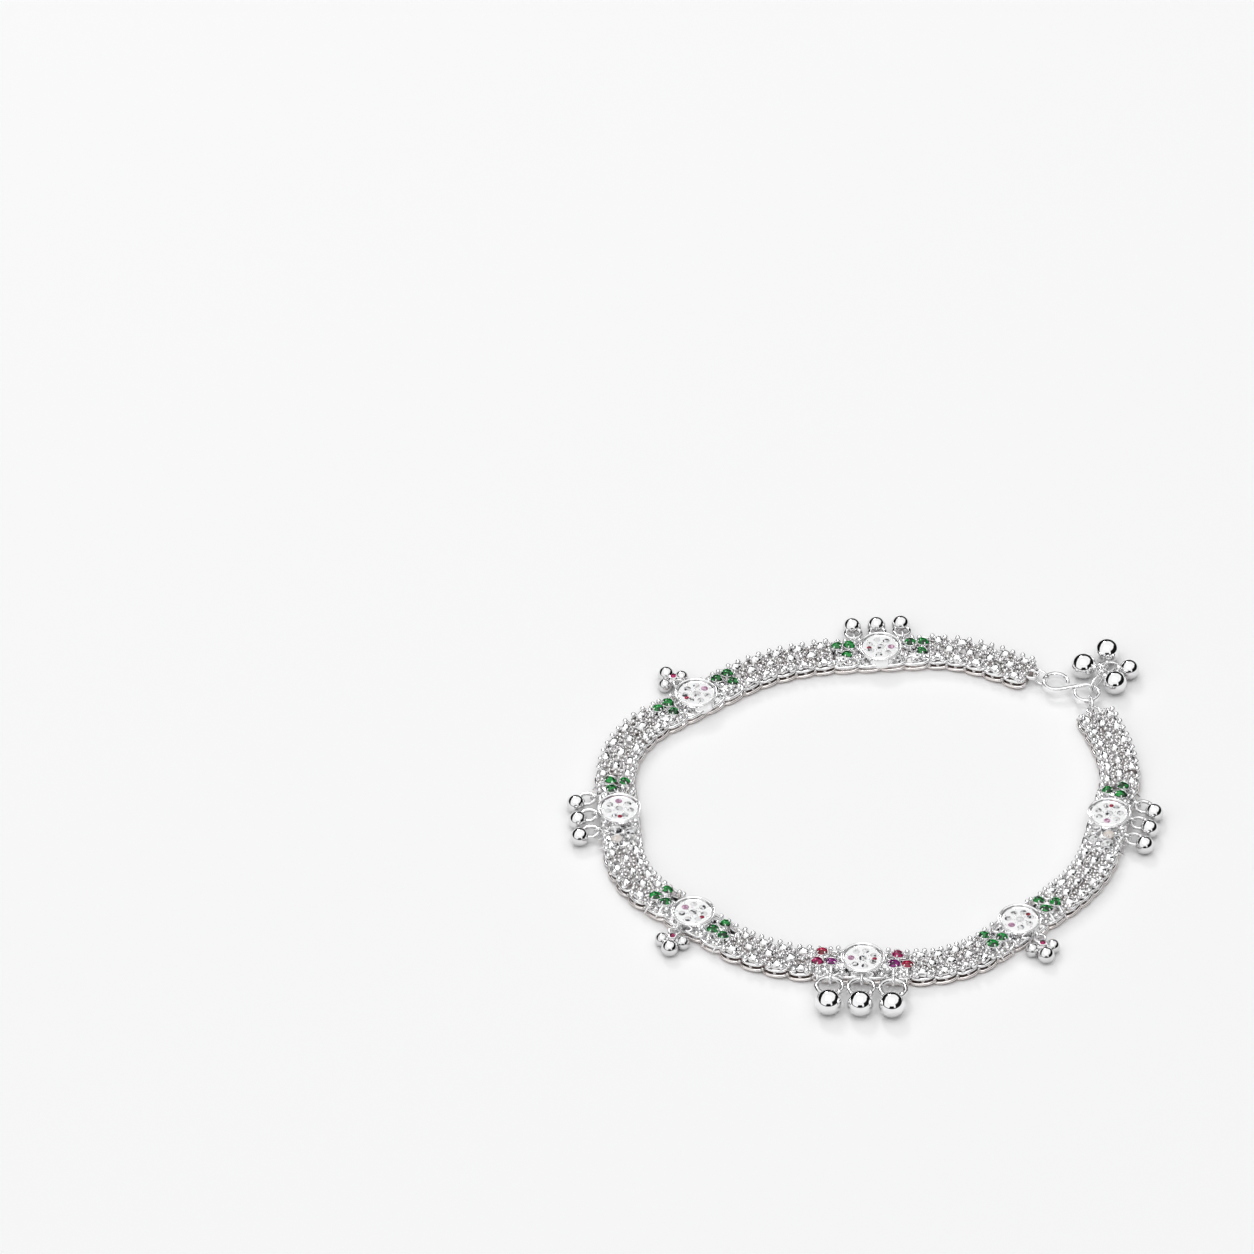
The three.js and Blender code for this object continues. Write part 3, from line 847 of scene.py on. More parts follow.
class Layout:
    """Works out where the stations, the bands and the clasp lie, in the route's own frame."""

    def __init__(self) -> None:
        drawn = np.array([self._drawn(i / ROUTE_STEPS) for i in range(ROUTE_STEPS + 1)])
        self.lengths = lengths_along(drawn)
        self.scale = LOOP_LENGTH / self.lengths[-1]
        half = PLATE.length / 2
        self.stations: list[tuple[np.ndarray, np.ndarray]] = []
        for plan in STATIONS:
            start, end = (self.on_route(plan.share * LOOP_LENGTH + reach) for reach in (-half, half))
            self.stations.append(((start + end) / 2, unit(end - start)))
        self._clasp()
        self._bands()

    @staticmethod
    def _drawn(share: float) -> np.ndarray:
        """A point of the closed spline through the route's points, by its own parameter."""
        count = len(ROUTE)
        place = share * count
        index = int(math.floor(place))
        t = place - index
        p0, p1, p2, p3 = (ROUTE[(index + step) % count] for step in (-1, 0, 1, 2))
        t0, t1 = 0.5 * (p2 - p0), 0.5 * (p3 - p1)
        return p1 + t0 * t + (-3 * p1 + 3 * p2 - 2 * t0 - t1) * t**2 + (2 * p1 - 2 * p2 + t0 + t1) * t**3

    def on_route(self, length: float) -> np.ndarray:
        """The route's point at a length from its start."""
        target = (length / LOOP_LENGTH) * self.lengths[-1]
        share = float(np.interp(target, self.lengths, np.linspace(0, 1, ROUTE_STEPS + 1)))
        return self._drawn(share) * self.scale

    def _clasp(self) -> None:
        """Places the clasp, from the band's first end backwards."""
        self.first_end = self.on_route(0)
        self.first_along = unit(self.on_route(END_STEP) - self.first_end)
        self.first_eye = self.first_end - self.first_along * CLASP.band_eye_out
        self.first_loop = self.first_eye + CLASP.loop_distance * towards(CLASP.first_bearing)
        self.hook = self.first_loop + CLASP.hook_reach * towards(CLASP.hook_bearing)
        self.last_loop = self.hook + CLASP.hook_reach * towards(CLASP.hook_bearing)
        self.last_eye = self.last_loop + CLASP.loop_distance * towards(CLASP.last_bearing)
        self.last_along = -towards(CLASP.last_bearing)
        self.last_end = self.last_eye - self.last_along * CLASP.band_eye_out

    def _bands(self) -> None:
        """Draws the lengths of band between the plates."""
        reach = PLATE.length / 2 + LINK_GAP
        starts = [(self.first_end, self.first_along)]
        starts += [(middle + along * reach, along) for middle, along in self.stations]
        ends = [(middle - along * reach, along) for middle, along in self.stations]
        ends.append((self.last_end, self.last_along))
        self.bands = [BandLine(*start, *end) for start, end in zip(starts, ends)]


# Sub-assemblies


# How far the loops along the edges lean outwards, in degrees.
LOOP_LEAN = 5.0


@dataclass(frozen=True)
class LoopTier:
    """One tier of the wire loops along the edges: their size, and how far out and how high they lie."""

    length: float
    width: float
    wire: float
    place: float
    height: float


@dataclass(frozen=True)
class Granule:
    """A granule on every link of the band.

    Args:
        share: Its place along the link, as a share of it.
        out: Its distance from the middle line, on both sides of it.
        height: Height of its middle.
        size: Its diameter.
        inner: Whether the first link goes without it.
    """

    share: float
    out: float
    height: float
    size: float
    inner: bool = False


@dataclass(frozen=True)
class WeaveSizes:
    """Sizes of the woven band."""

    pitch: float = 3.3
    row: float = 2.0
    base: float = 1.8
    rise: float = 0.95
    dome_length: float = 2.1
    dome_width: float = 1.65
    dome_leans: tuple[float, float, float] = (7, 8, 8)
    dome_varies: tuple[float, float] = (0.86, 1.1)
    bead: float = 0.8
    small_bead: float = 0.6
    fine_bead: float = 0.44
    fine_count: int = 36
    fine_out: float = 2.6
    edge_bead: float = 0.98
    edge_place: float = 2.82
    edge_height: float = 2.3
    edge_varies: float = 0.06
    end_share: float = 0.13
    tongue_start: float = 0.22
    tongue_end: float = 1.42
    tongue_foot: float = 0.3


class WovenBand:
    """One length of the band: a dark core of painted shade, edge loops in two tiers, three rows of domes, and
    granules.
    """

    sizes = WeaveSizes()
    tiers = (LoopTier(3.9, 2.3, 0.56, 2.05, 0.6), LoopTier(3.6, 2.0, 0.532, 1.98, 1.48))
    core = ((-2.5, 0.25), (2.5, 0.25), (2.65, 0.5), (2.5, 1.75), (-2.5, 1.75), (-2.65, 0.5))
    granules = (
        Granule(0.5, 0, 2.15, 0.8), Granule(0, 1.9, 2.05, 0.8, True), Granule(0, 1.2, 1.85, 0.6),
        Granule(0.25, 1.05, 1.95, 0.6), Granule(0.75, 1.05, 1.95, 0.6), Granule(0.5, 0.8, 1.8, 0.6),
        Granule(0, 2.95, 1.1, 0.68), Granule(0.5, 2.95, 1.1, 0.68),
    )  # fmt: skip
    end_large = (-2.2, -0.85, 0.85, 2.2)
    end_small = (-2.8, -1.5, 0, 1.5, 2.8)

    def __init__(self, index: int, line: BandLine, random: np.random.Generator) -> None:
        self.index = index
        self.line = line
        self.random = random
        self.links = max(2, round(line.length / self.sizes.pitch))

    def spot(self, links: float, out: float, z: float) -> np.ndarray:
        """The matrix of a place on the band, at a number of links from its start."""
        point, bearing = self.line.at(links / self.links, out)
        return shift(point[0], point[1], z) @ turn_z(bearing)

    def _shade_core(self) -> Shape:
        """The dark core under the weave: dark silver that stands in for the shade in the gaps between the
        loops and the domes.
        """
        rings = []
        for share in np.linspace(0, 1, 3 * self.links + 1):
            rings.append(np.array([[*self.line.at(float(share), out)[0], z] for out, z in self.core]))
        return skin(rings, smooth=False)

    def _domes(self) -> Shape:
        """The three rows of domes, each of its own size and tilted a little."""
        s = self.sizes
        shapes = []
        for link in range(self.links):
            rows = [(link + 0.5, s.row), (link + 0.5, -s.row)]
            if link:
                rows.append((link, 0.0))
            for along, out in rows:
                lean = self.random.normal(0, s.dome_leans)
                size = self.random.uniform(*s.dome_varies, 3)
                dome = cushion(s.dome_length * size[0], s.dome_width * size[1], s.rise * size[2])
                place = self.spot(along, out, s.base)
                shapes.append(dome.moved(place, turn_z(lean[0]), turn_x(lean[1]), turn_y(lean[2])))
        return joined(shapes)

    def _loops(self) -> Shape:
        """The wires that overlap like tiles along both edges, in two tiers."""
        shapes = []
        for tier in self.tiers:
            loop = arched(tier.length, tier.width, tier.wire)
            for link, side in product(range(self.links), (1, -1)):
                place = self.spot(link + 0.5, side * tier.place, tier.height)
                shapes.append(loop.moved(place, turn_y(LOOP_LEAN * side)))
        return joined(shapes)

    def _beads(self) -> Shape:
        """The granules between the domes and the larger beads along both edges."""
        s = self.sizes
        shapes = []
        for grain in self.granules:
            links = range(1 if grain.inner else 0, self.links)
            sides = (1, -1) if grain.out else (1,)
            for link, side in product(links, sides):
                place = self.spot(link + grain.share, side * grain.out, grain.height)
                shapes.append(granule(grain.size).moved(place))
        edge, fine = [], []
        for link in range(self.links):
            for side, quarter in product((1, -1), (0.25, 0.75)):
                lift = float(self.random.normal(0, s.edge_varies))
                edge.append(self.spot(link + quarter, side * s.edge_place, s.edge_height + lift))
            for _ in range(s.fine_count):
                along = link + float(self.random.uniform(0.04, 0.96))
                out = float(self.random.uniform(-s.fine_out, s.fine_out))
                fine.append(self.spot(along, out, s.base + 0.1))
        shapes += [granule(s.edge_bead).at_each(edge), ball(s.fine_bead, 8, 6).at_each(fine)]
        for end in (s.end_share, self.links - s.end_share):
            large = [self.spot(end, out, s.base + 0.15) for out in self.end_large]
            small = [self.spot(end, out, s.base + 0.1) for out in self.end_small]
            shapes += [granule(s.bead).at_each(large), granule(s.small_bead).at_each(small)]
        return joined(shapes)

    def _end_eye(self, eye: np.ndarray, end: np.ndarray, inwards: float) -> Shape:
        """The eye at an outer end of the loop, with the tongue that joins it to the band."""
        s = self.sizes
        loop = ring(CLASP.band_eye, CLASP.band_eye_wire).moved(shift(*eye, CLASP.ring_height))
        half, near, far = CLASP.band_eye / 2, s.tongue_start, s.tongue_end
        outline = np.array([(near, -half), (far, -half), (far, half), (near, half)])
        tongue = slab(outline, s.tongue_foot, CLASP.ring_height, s.tongue_foot / 2)
        return joined([loop, tongue.moved(shift(*end), turn_z(inwards))])

    def build(self, shop: Workshop, layout: Layout) -> None:
        """Makes the core, the edges and the weave as three pieces."""
        number = self.index + 1
        home = shop.place((0, 0), 0)
        edges = [self._loops()]
        if self.index == 0:
            edges.append(self._end_eye(layout.first_eye, layout.first_end, bearing_of(layout.first_along)))
        if self.index == len(STATIONS):
            edges.append(self._end_eye(layout.last_eye, layout.last_end, bearing_of(-layout.last_along)))
        rows = (
            # The sheet is the dark core: painted shade in the gaps of the weave.
            ("sheet", [self._shade_core()], Metal.SHADED),
            ("edges", edges, Metal.WIRE),
            ("weave", [self._domes(), self._beads()], Metal.CAST),
        )
        for name, parts, metal in rows:
            made = shop.piece(f"{name}_{number}", joined(parts).moved(home), metal, f"band_{number}")
            log.info("%s: %d links, %d faces", made.name, self.links, len(made.data.polygons))


@dataclass(frozen=True)
class BellSizes:
    """Sizes of a bell and of the eye that it hangs in."""

    ball: float
    across: float
    wire: float
    eye_wire: float
    pitch: float
    sink: float


BELLS = {
    Hangs.LARGE: BellSizes(4.3, 4.2, 0.7, 0.5, 5.1, 0.3),
    Hangs.SMALL: BellSizes(3.1, 2.6, 0.52, 0.44, 4.06, 0.83),
}


@dataclass(frozen=True)
class DropSizes:
    """Sizes of a drop of three balls and of the eye that it hangs in."""

    across: float = 1.8
    wire: float = 0.5
    eye_wire: float = 0.44
    core: float = 1.9
    ball: float = 2.35
    sink: float = 0.4
    tip: float = 2.75
    stone: float = 1.0


DROP = DropSizes()


def eye_place(wire: float) -> float:
    """Where an eye stands on the plate for a ring's wire."""
    return PLATE.cup + wire / 2 + LINK_GAP


# Rows of a claw: its distance out as a share of the stone's radius, its height over the girdle and its width.
CLAW_ROWS = ((1.04, -0.4, 0.2), (1.08, 0.0, 0.26), (0.98, 0.24, 0.28), (0.8, 0.38, 0.26))


def claws(diameter: float, girdle: float, first: float) -> Shape:
    """Four short claws that bend over a stone's girdle."""
    path = np.array([[diameter / 2 * out, 0, girdle + z] for out, z, _ in CLAW_ROWS])
    claw = tube(path, np.array([width for _, _, width in CLAW_ROWS]), 8)
    return claw.at_each(turn_z(first + turn) for turn in (0, 90, 180, 270))


# Bearing and size of each stone of a trio, how far stones lean by chance in degrees, and their lift.
TRIO_STONES = ((42, 2.05), (140, 1.9), (292, 1.85))
STONE_LEAN = 5
STONE_LIFT = 0.06


@dataclass(frozen=True)
class FieldSizes:
    """Sizes of the stones in a cup and of the prongs between them."""

    middle: float = 1.75
    around: float = 1.55
    count: int = 7
    reach: float = 1.87
    lift: float = 2.78
    red: float = 0.95
    red_reach: float = 1.9
    red_lift: float = 2.9
    prong: float = 0.42


class Station:
    """A cast plate with its cup, stones, eyes and what hangs from them.

    The rows are radius and height. Those of the collets and of the charm's are a share of the stone's radius
    and the height over its girdle.
    """

    cup_rows = (
        (0, 1.0), (3.0, 1.0), (3.05, 2.2), (3.3, 2.92), (3.48, 3.02), (3.58, 3.12),
        (3.57, 3.22), (3.48, 3.29), (3.38, 3.27), (3.3, 3.14), (3.24, 3.12), (3.18, 3.22),
        (3.08, 3.24), (3.0, 3.14), (2.94, 2.2), (0, 2.1),
    )  # fmt: skip
    skirt_rows = ((3.3, 1.1), (3.33, 1.35), (3.24, 1.8), (3.17, 2.3), (3.22, 2.7), (3.4, 2.98))
    bed_rows = ((0, 2.2), (2.8, 2.2), (2.9, 2.4), (2.8, 2.56), (0, 2.62))
    foot_rows = ((0, 1.38), (1.35, 1.38), (1.55, 1.55), (1.35, 1.75), (0, 1.8))
    post_rows = ((0, 1.4), (0.45, 1.4), (0.34, 1.8), (0.36, 2.2))
    collet_rows = ((0.78, -0.25), (1.0, -0.04), (1.06, 0.04), (1.0, 0.1), (0.9, 0.0), (0, -0.2))
    field = FieldSizes()
    # Prongs: how many, the first one's bearing, how far out and how high.
    prong_rows = ((7, 13, 1.03, 2.86), (7, 13 + 180 / 7, 2.62, 2.86), (21, 0, 2.82, 2.78))
    # The loops' length, width and wire, and how far out and how high both tiers lie.
    loop = (4.3, 2.2, 0.56)
    tiers = ((2.08, 0.6), (2.0, 1.5))
    bead, stalk, stalk_foot = 0.9, 0.4, 0.9
    bead_spots = (
        (4.05, -2.35, 2.8), (4.1, 1.9, 2.3), (7.1, -2.5, 2.45), (7.3, 2.6, 1.9), (5.3, -2.75, 2.2),
        (3.2, 2.85, 2.15), (5.6, 2.85, 2.15), (6.8, 2.85, 2.15),
    )  # fmt: skip
    # A dark ring of painted shade in the groove between the rim's two lips: its diameter, width and height.
    groove_shade = (6.54, 0.14, 3.1)
    charm_rows = ((0, -0.5), (1.0, -0.5), (1.3, -0.1), (1.3, 0.06), (1.05, 0.1), (0, 0.0))

    def __init__(self, index: int, plan: StationPlan, random: np.random.Generator) -> None:
        self.number = index + 1
        self.plan = plan
        self.random = random

    def _plate(self) -> Shape:
        """The base plate behind the loops along its edges."""
        x = np.linspace(-PLATE.length / 2, PLATE.length / 2, PLATE.lobes * 12 + 1)
        phase = np.abs(np.sin(np.pi * (x / PLATE.length + 0.5) * PLATE.lobes))
        y = PLATE.width / 2 - PLATE.edge_inset + PLATE.lobe_depth * (phase**0.6 - 1)
        outline = np.column_stack([np.concatenate([x, x[::-1]]), np.concatenate([-y, y[::-1]])])
        return slab(outline, PLATE.foot, PLATE.thick, PLATE.ease)

    def _edge_loops(self) -> Shape:
        """Wire loops that carry the band's two tiers on along the plate."""
        places = []
        for step, side, (out, z) in product(range(PLATE.lobes), (1, -1), self.tiers):
            x = (step + 0.5) * PLATE.length / PLATE.lobes - PLATE.length / 2
            places.append(shift(x, side * out, z) @ turn_y(LOOP_LEAN * side))
        return arched(*self.loop).at_each(places)

    def _skirt(self) -> Shape:
        """The fluted wall that flares from under the cup's rim."""
        turns = round_turns(192)
        flute = 0.075 * np.abs(np.sin(8 * turns)) ** 0.7 - 0.03
        reaches = [(radius + flute, z) for radius, z in self.skirt_rows]
        return skin([level(reach * np.cos(turns), reach * np.sin(turns), z) for reach, z in reaches])

    def _struts(self) -> Shape:
        """Thin arms that rise to the outer stones of both trios."""
        struts = []
        for side, stone in product((-1, 1), TRIO_STONES[:2]):
            x, y = towards(stone[0]) * PLATE.trio_ring
            struts.append(shift(side * PLATE.trio_place + x, y + 0.5, 2.7) @ turn_z(90) @ turn_y(38))
        return leaf(2.9, 0.62, 0.45).at_each(struts)

    def _beads(self) -> Shape:
        """Granules beside the cup and the trios, on short stalks."""
        shapes = []
        for side, (x, y, z) in product((1, -1), self.bead_spots):
            stalk = np.array([[side * x, y, self.stalk_foot], [side * x, y, z]])
            shapes += [granule(self.bead).moved(shift(*stalk[1])), tube(stalk, self.stalk, 8, ends=False)]
        return joined(shapes)

    def _eyes(self) -> Shape:
        """The eyes on the plate's outer edge."""
        hangs = BELLS.get(self.plan.hangs, DROP)
        eye = ring(hangs.wire + hangs.eye_wire + 2 * LINK_GAP, hangs.eye_wire, 24, 10).moved(turn_y(90))
        spots = (-hangs.pitch, 0, hangs.pitch) if self.plan.hangs in BELLS else (0,)
        return eye.at_each(shift(x, eye_place(hangs.wire), PLATE.eye_height) for x in spots)

    def _field(self, shop: Workshop, home: np.ndarray) -> None:
        """The cup's bed with its small stones, one of them lilac and one red; the bed is dark silver, painted
        shade between the stones.
        """
        node = f"crystal_{self.number}"
        f = self.field
        spots = [(0.0, 0.0, f.middle, f.lift, Stone.CLEAR)]
        for step in range(f.count):
            kind = Stone.CLEAR if step else Stone.LILAC
            spots.append((*(towards(step * 360 / f.count) * f.reach), f.around, f.lift, kind))
        spots.append((-f.red_reach, 0.0, f.red, f.red_lift, Stone.RED))
        kinds: dict[Stone, list[Shape]] = {}
        for x, y, size, lift, kind in spots:
            lean = self.random.normal(0, STONE_LEAN, 2)
            turned = tilted(lean, float(self.random.uniform(0, 45)))
            gem = brilliant(size, size * 0.2, size * 0.3).moved(shift(x, y, lift), turned)
            kinds.setdefault(kind, []).append(gem)
        prongs = []
        for count, first, reach, z in self.prong_rows:
            for step in range(count):
                prongs.append(shift(*(towards(step * 360 / count + first) * reach), z))
        # The bed is painted shade: dark silver between the small stones.
        bed = lathe(self.bed_rows).moved(home)
        shop.piece(f"bed_{self.number}", bed, Metal.SHADED, node)
        grains = granule(f.prong).at_each(prongs).moved(home)
        shop.piece(f"grains_{self.number}", grains, Metal.POLISHED, node)
        for kind, gems in kinds.items():
            shop.piece(f"field_{kind.value}_{self.number}", joined(gems).moved(home), kind, node)

    def _trio(self, shop: Workshop, home: np.ndarray, end: int, colours: tuple[Stone, Stone, Stone]) -> None:
        """Three stones in claws on thin posts."""
        label = f"{self.number}{'ab'[end]}"
        node = f"trio_{label}"
        place = home @ shift(PLATE.trio_place if end else -PLATE.trio_place)
        girdle = PLATE.trio_top - PLATE.crown
        settings = [lathe(self.foot_rows, 32)]
        kinds: dict[Stone, list[Shape]] = {}
        for (turn, size), colour in zip(TRIO_STONES, colours):
            spot = shift(*(towards(turn) * PLATE.trio_ring))
            cup = [(size / 2 * share, girdle + z) for share, z in self.collet_rows]
            first = float(self.random.uniform(0, 90))
            for part in (lathe([*self.post_rows, *cup], 24), claws(size * 0.98, girdle, first)):
                settings.append(part.moved(spot))
            turned = tilted(self.random.normal(0, STONE_LEAN, 2), first)
            gem = brilliant(size, PLATE.crown, 0.3, 0.5).moved(spot, shift(z=girdle + STONE_LIFT), turned)
            kinds.setdefault(colour, []).append(gem)
        shop.piece(f"setting_{label}", joined(settings).moved(place), Metal.POLISHED, node)
        for colour, gems in kinds.items():
            shop.piece(f"gem_{colour.value}_{label}", joined(gems).moved(place), colour, node)

    def _bells(self, shop: Workshop, home: np.ndarray, sizes: BellSizes) -> None:
        """Three balls, each on its ring."""
        inner = eye_place(sizes.wire)
        tilt = math.degrees(math.atan2((sizes.ball / 2 - PLATE.eye_height) / 2, sizes.across))
        hang = shift(0, inner, PLATE.eye_height) @ turn_x(tilt) @ shift(0, sizes.across / 2)
        loop = ring(sizes.across, sizes.wire * 1.25, 48, 14).moved(hang)
        leaning = shift(0, inner + sizes.across / 2) @ turn_z(-self.plan.lean)
        reach = (sizes.across + sizes.ball) / 2 - sizes.sink
        round_ball = ball(sizes.ball, 56, 36).moved(leaning, shift(0, reach, sizes.ball / 2), turn_x(90))
        knot = granule(sizes.wire * 1.5).moved(hang, shift(-0.38 * sizes.across, 0.32 * sizes.across))
        bell = joined([loop, round_ball, knot])
        for step, letter in zip((-1, 0, 1), "abc"):
            label = f"{self.number}{letter}"
            shape = bell.moved(home, shift(step * sizes.pitch))
            shop.piece(f"ball_{label}", shape, Metal.BURNISHED_SHADED, f"bell_{label}")

    def _drop(self, shop: Workshop, home: np.ndarray) -> None:
        """Three balls round a small core, which carries a small stone."""
        middle = eye_place(DROP.wire) + DROP.across / 2
        leaning = shift(0, middle) @ turn_z(-self.plan.lean)
        core = (DROP.across + DROP.core - DROP.sink) / 2
        beside = (DROP.ball + DROP.core) / 2 - DROP.sink
        top = (DROP.tip + DROP.core) / 2
        rows = [(DROP.stone / 2 * share, z) for share, z in self.charm_rows]
        metal = [
            ring(DROP.across, DROP.wire).moved(shift(0, middle, PLATE.eye_height)),
            ball(DROP.core, 28, 18).moved(leaning, shift(0, core, DROP.tip / 2)),
            ball(DROP.ball, 44, 28).moved(leaning, shift(beside, core, DROP.ball / 2)),
            ball(DROP.ball, 44, 28).moved(leaning, shift(-beside, core, DROP.ball / 2)),
            ball(DROP.tip, 48, 30).moved(leaning, shift(0, core + top - DROP.sink, DROP.tip / 2)),
            lathe(rows, 24).moved(leaning, shift(0, core, top)),
        ]
        gem = brilliant(DROP.stone, 0.22, 0.1, 0.5).moved(leaning, shift(0, core, top + STONE_LIFT))
        node = f"drop_{self.number}"
        shop.piece(f"charm_{self.number}", joined(metal).moved(home), Metal.BURNISHED_SHADED, node)
        shop.piece(f"charm_gem_{self.number}", gem.moved(home), Stone.PINK, node)

    def build(self, shop: Workshop, layout: Layout) -> None:
        """Makes the station's pieces."""
        middle, along = layout.stations[self.number - 1]
        home = shop.place(middle, bearing_of(along))
        node = f"station_{self.number}"
        across, wire, height = self.groove_shade
        # A dark ring that paints the shade in the rim's groove.
        groove_shade = ring(across, wire, 64, 8).moved(shift(0, 0, height))
        arms = [self._edge_loops(), self._skirt(), self._eyes(), self._struts()]
        rows = (
            ("groove_shade", groove_shade, Metal.SHADED),
            ("plate", self._plate(), Metal.WIRE),
            ("cup", joined([*arms, lathe(self.cup_rows, 64)]), Metal.WIRE),
            ("beads", self._beads(), Metal.CAST),
        )
        for name, shape, metal in rows:
            made = shop.piece(f"{name}_{self.number}", shape.moved(home), metal, node)
            log.info("%s: %d faces", made.name, len(made.data.polygons))
        self._field(shop, home)
        self._trio(shop, home, 0, self.plan.far)
        self._trio(shop, home, 1, self.plan.near)
        if self.plan.hangs in BELLS:
            self._bells(shop, home, BELLS[self.plan.hangs])
        else:
            self._drop(shop, home)
        log.info("%s: with stones, and with %s below", node, self.plan.hangs.value)


class Clasp:
    """The hook between its two end rings."""

    def _hook(self) -> Shape:
        """The strip on edge, bent to an S, with its edges eased."""
        slope = math.asin(CLASP.hook_middle / CLASP.hook_reach)
        sweep = 2 * math.pi - math.radians(CLASP.mouth)
        turns = slope + math.pi / 2 - sweep * np.linspace(1, 0, CLASP.arc_steps)
        arc = CLASP.hook_middle * np.column_stack([np.cos(turns), np.sin(turns)])
        arc[:, 0] += CLASP.hook_reach
        line = np.vstack([arc, -arc[::-1]])
        side = left_of(unit(np.gradient(line, axis=0)))
        t, h, e = CLASP.strip / 2, CLASP.hook_height / 2, CLASP.strip_ease
        half = [(t - e, -h), (e - t, -h), (-t, e - h), (-t, h - e)]
        section = half + [(-x, -z) for x, z in half]
        rings = []
        for point, out in zip(line, side):
            rings.append(np.array([[*(point + out * x), CLASP.ring_height + z] for x, z in section]))
        return skin(rings[::-1])

    @staticmethod
    def _end_ring(eye: np.ndarray, bearing: float) -> Shape:
        """A ring on edge between a band eye and the hook."""
        inside = (CLASP.band_eye - CLASP.band_eye_wire - CLASP.end_ring_wire) / 2 - LINK_GAP
        x, y = eye + towards(bearing) * (inside + CLASP.end_ring / 2)
        return ring(CLASP.end_ring, CLASP.end_ring_wire).moved(
            shift(x, y, CLASP.ring_height), turn_z(bearing), turn_x(90)
        )

    def build(self, shop: Workshop, layout: Layout) -> None:
        """Makes the hook and its rings."""
        home = shop.place((0, 0), 0)
        first = self._end_ring(layout.first_eye, CLASP.first_bearing)
        last = self._end_ring(layout.last_eye, CLASP.last_bearing + 180)
        shop.piece("ring_1", first.moved(home), Metal.POLISHED, "end_ring_1")
        shop.piece("ring_2", last.moved(home), Metal.POLISHED, "end_ring_2")
        hook = self._hook().moved(shop.place(layout.hook, CLASP.hook_bearing))
        shop.piece("hook", hook, Metal.POLISHED, "s_hook")
        log.info("clasp: hook and two rings")


@dataclass(frozen=True)
class ClusterBall:
    """One ball of the bunch, in the frame of its link.

    Args:
        diameter: The ball's diameter.
        along: Its place along the link, as a share of the link's length.
        aside: Its distance from the link's line.
        lies: Whether its ring lies flat, and doesn't stand on the link's upper wire.
        place: Where its ring holds the link, as a share of the link's length.
        level: How far its flat ring lies above the link's middle.
    """

    diameter: float
    along: float
    aside: float
    lies: bool
    place: float
    level: float = 0.0


CLUSTER = (
    ClusterBall(4.3, 0.69, 3.5, False, 0.69),
    ClusterBall(4.3, 1.54, 1.8, True, 1, -0.26),
    ClusterBall(3.4, 1.24, -3.3, True, 1, 0.26),
    ClusterBall(4.0, 0.52, -2.9, False, 0.52),
)


class Cluster:
    """The bunch of balls that hangs from the hook's first loop."""

    neck = 1.1
    # How far a ring and a neck go into their ball.
    ring_sink, neck_sink = 0.2, 0.05

    start = CLASP.hook_middle - CLASP.strip / 2 - LINK_GAP - CLASP.link_wire / 2

    def _link(self) -> Shape:
        """The long link on edge."""
        link = oval(CLASP.link_length, CLASP.link_height, CLASP.link_wire)
        x = self.start + CLASP.link_length / 2
        return link.moved(shift(x, 0, CLASP.ring_height), turn_x(90))

    def _ball(self, plan: ClusterBall) -> Shape:
        """One ball with the ring that holds it."""
        radius = plan.diameter / 2
        wire = np.array([self.start + plan.place * CLASP.link_length, 0.0])
        centre = np.array([self.start + plan.along * CLASP.link_length, plan.aside])
        height = CLASP.ring_height + (plan.level if plan.lies else CLASP.link_height / 2)
        surface = float(np.linalg.norm(centre - wire)) - math.sqrt(radius**2 - (height - radius) ** 2)
        near = (CLASP.link_wire + CLASP.ring_wire) / 2 + LINK_GAP
        far = surface + self.ring_sink - CLASP.ring_wire / 2
        loop = ring(near + far, CLASP.ring_wire, 32, 10)
        if not plan.lies:
            loop = loop.moved(turn_x(90))
        bearing = bearing_of(centre - wire)
        loop = loop.moved(shift(*wire), turn_z(bearing), shift((far - near) / 2, 0, height))
        tip = wire + towards(bearing) * (surface - self.neck_sink)
        neck = granule(self.neck).moved(shift(*tip, height))
        return joined([loop, neck, ball(plan.diameter, 56, 36).moved(shift(*centre, radius))])

    def build(self, shop: Workshop, layout: Layout) -> None:
        """Makes the link and its balls."""
        home = shop.place(layout.first_loop, CLASP.hook_bearing - 90)
        shop.piece("link", self._link().moved(home), Metal.POLISHED, "cluster_link")
        for step, plan in enumerate(CLUSTER, 1):
            shape = self._ball(plan).moved(home)
            shop.piece(f"bunch_{step}", shape, Metal.BURNISHED_SHADED, f"cluster_bell_{step}")
        log.info("cluster: link and %d balls", len(CLUSTER))


# The studio


@dataclass(frozen=True)
class AreaLight:
    """A square light: its place from the anklet's middle and size in millimetres, and its power in watts."""

    name: str
    place: tuple[float, float, float]
    size: float
    power: float


@dataclass(frozen=True)
class StudioSizes:
    """Where the camera stands and how large and bright the surroundings are, in millimetres and degrees."""

    elevation: float = 41.0
    distance: float = 2061.0
    lens: float = 360.0
    sensor: float = 36.0
    aim_aside: float = -39.3
    aim_up: float = 26.3
    floor: float = 2600.0
    floor_colour: tuple[float, float, float] = (0.97, 0.97, 0.975)
    sky: tuple[float, float, float] = (0.97, 0.97, 0.97)
    sky_dark: tuple[float, float, float] = (0.008, 0.008, 0.008)


LIGHTS = (
    AreaLight("key", (-100, -400, 1500), 1150.0, 4.0),
    AreaLight("lamp", (-330, 1080, 985), 300.0, 3.2),
)
# How softly the dark in the sky ends above, and between which heights it begins, as sines of the height.
DARK_EDGE = 0.03
DARK_START = (0.01, 0.05)


# How high the dark reaches in the sky, as bearings from the camera's side with the sine of the height.
SKY_TOPS = (
    (-180, 0.62), (-110, 0.6), (-85, 0.4), (-70, 0.14), (-24, 0.12), (-16, 0.45), (16, 0.45), (22, 0.16),
    (32, 0.16), (38, 0.62), (110, 0.6), (120, 0.5), (160, 0.55), (180, 0.62),
)  # fmt: skip


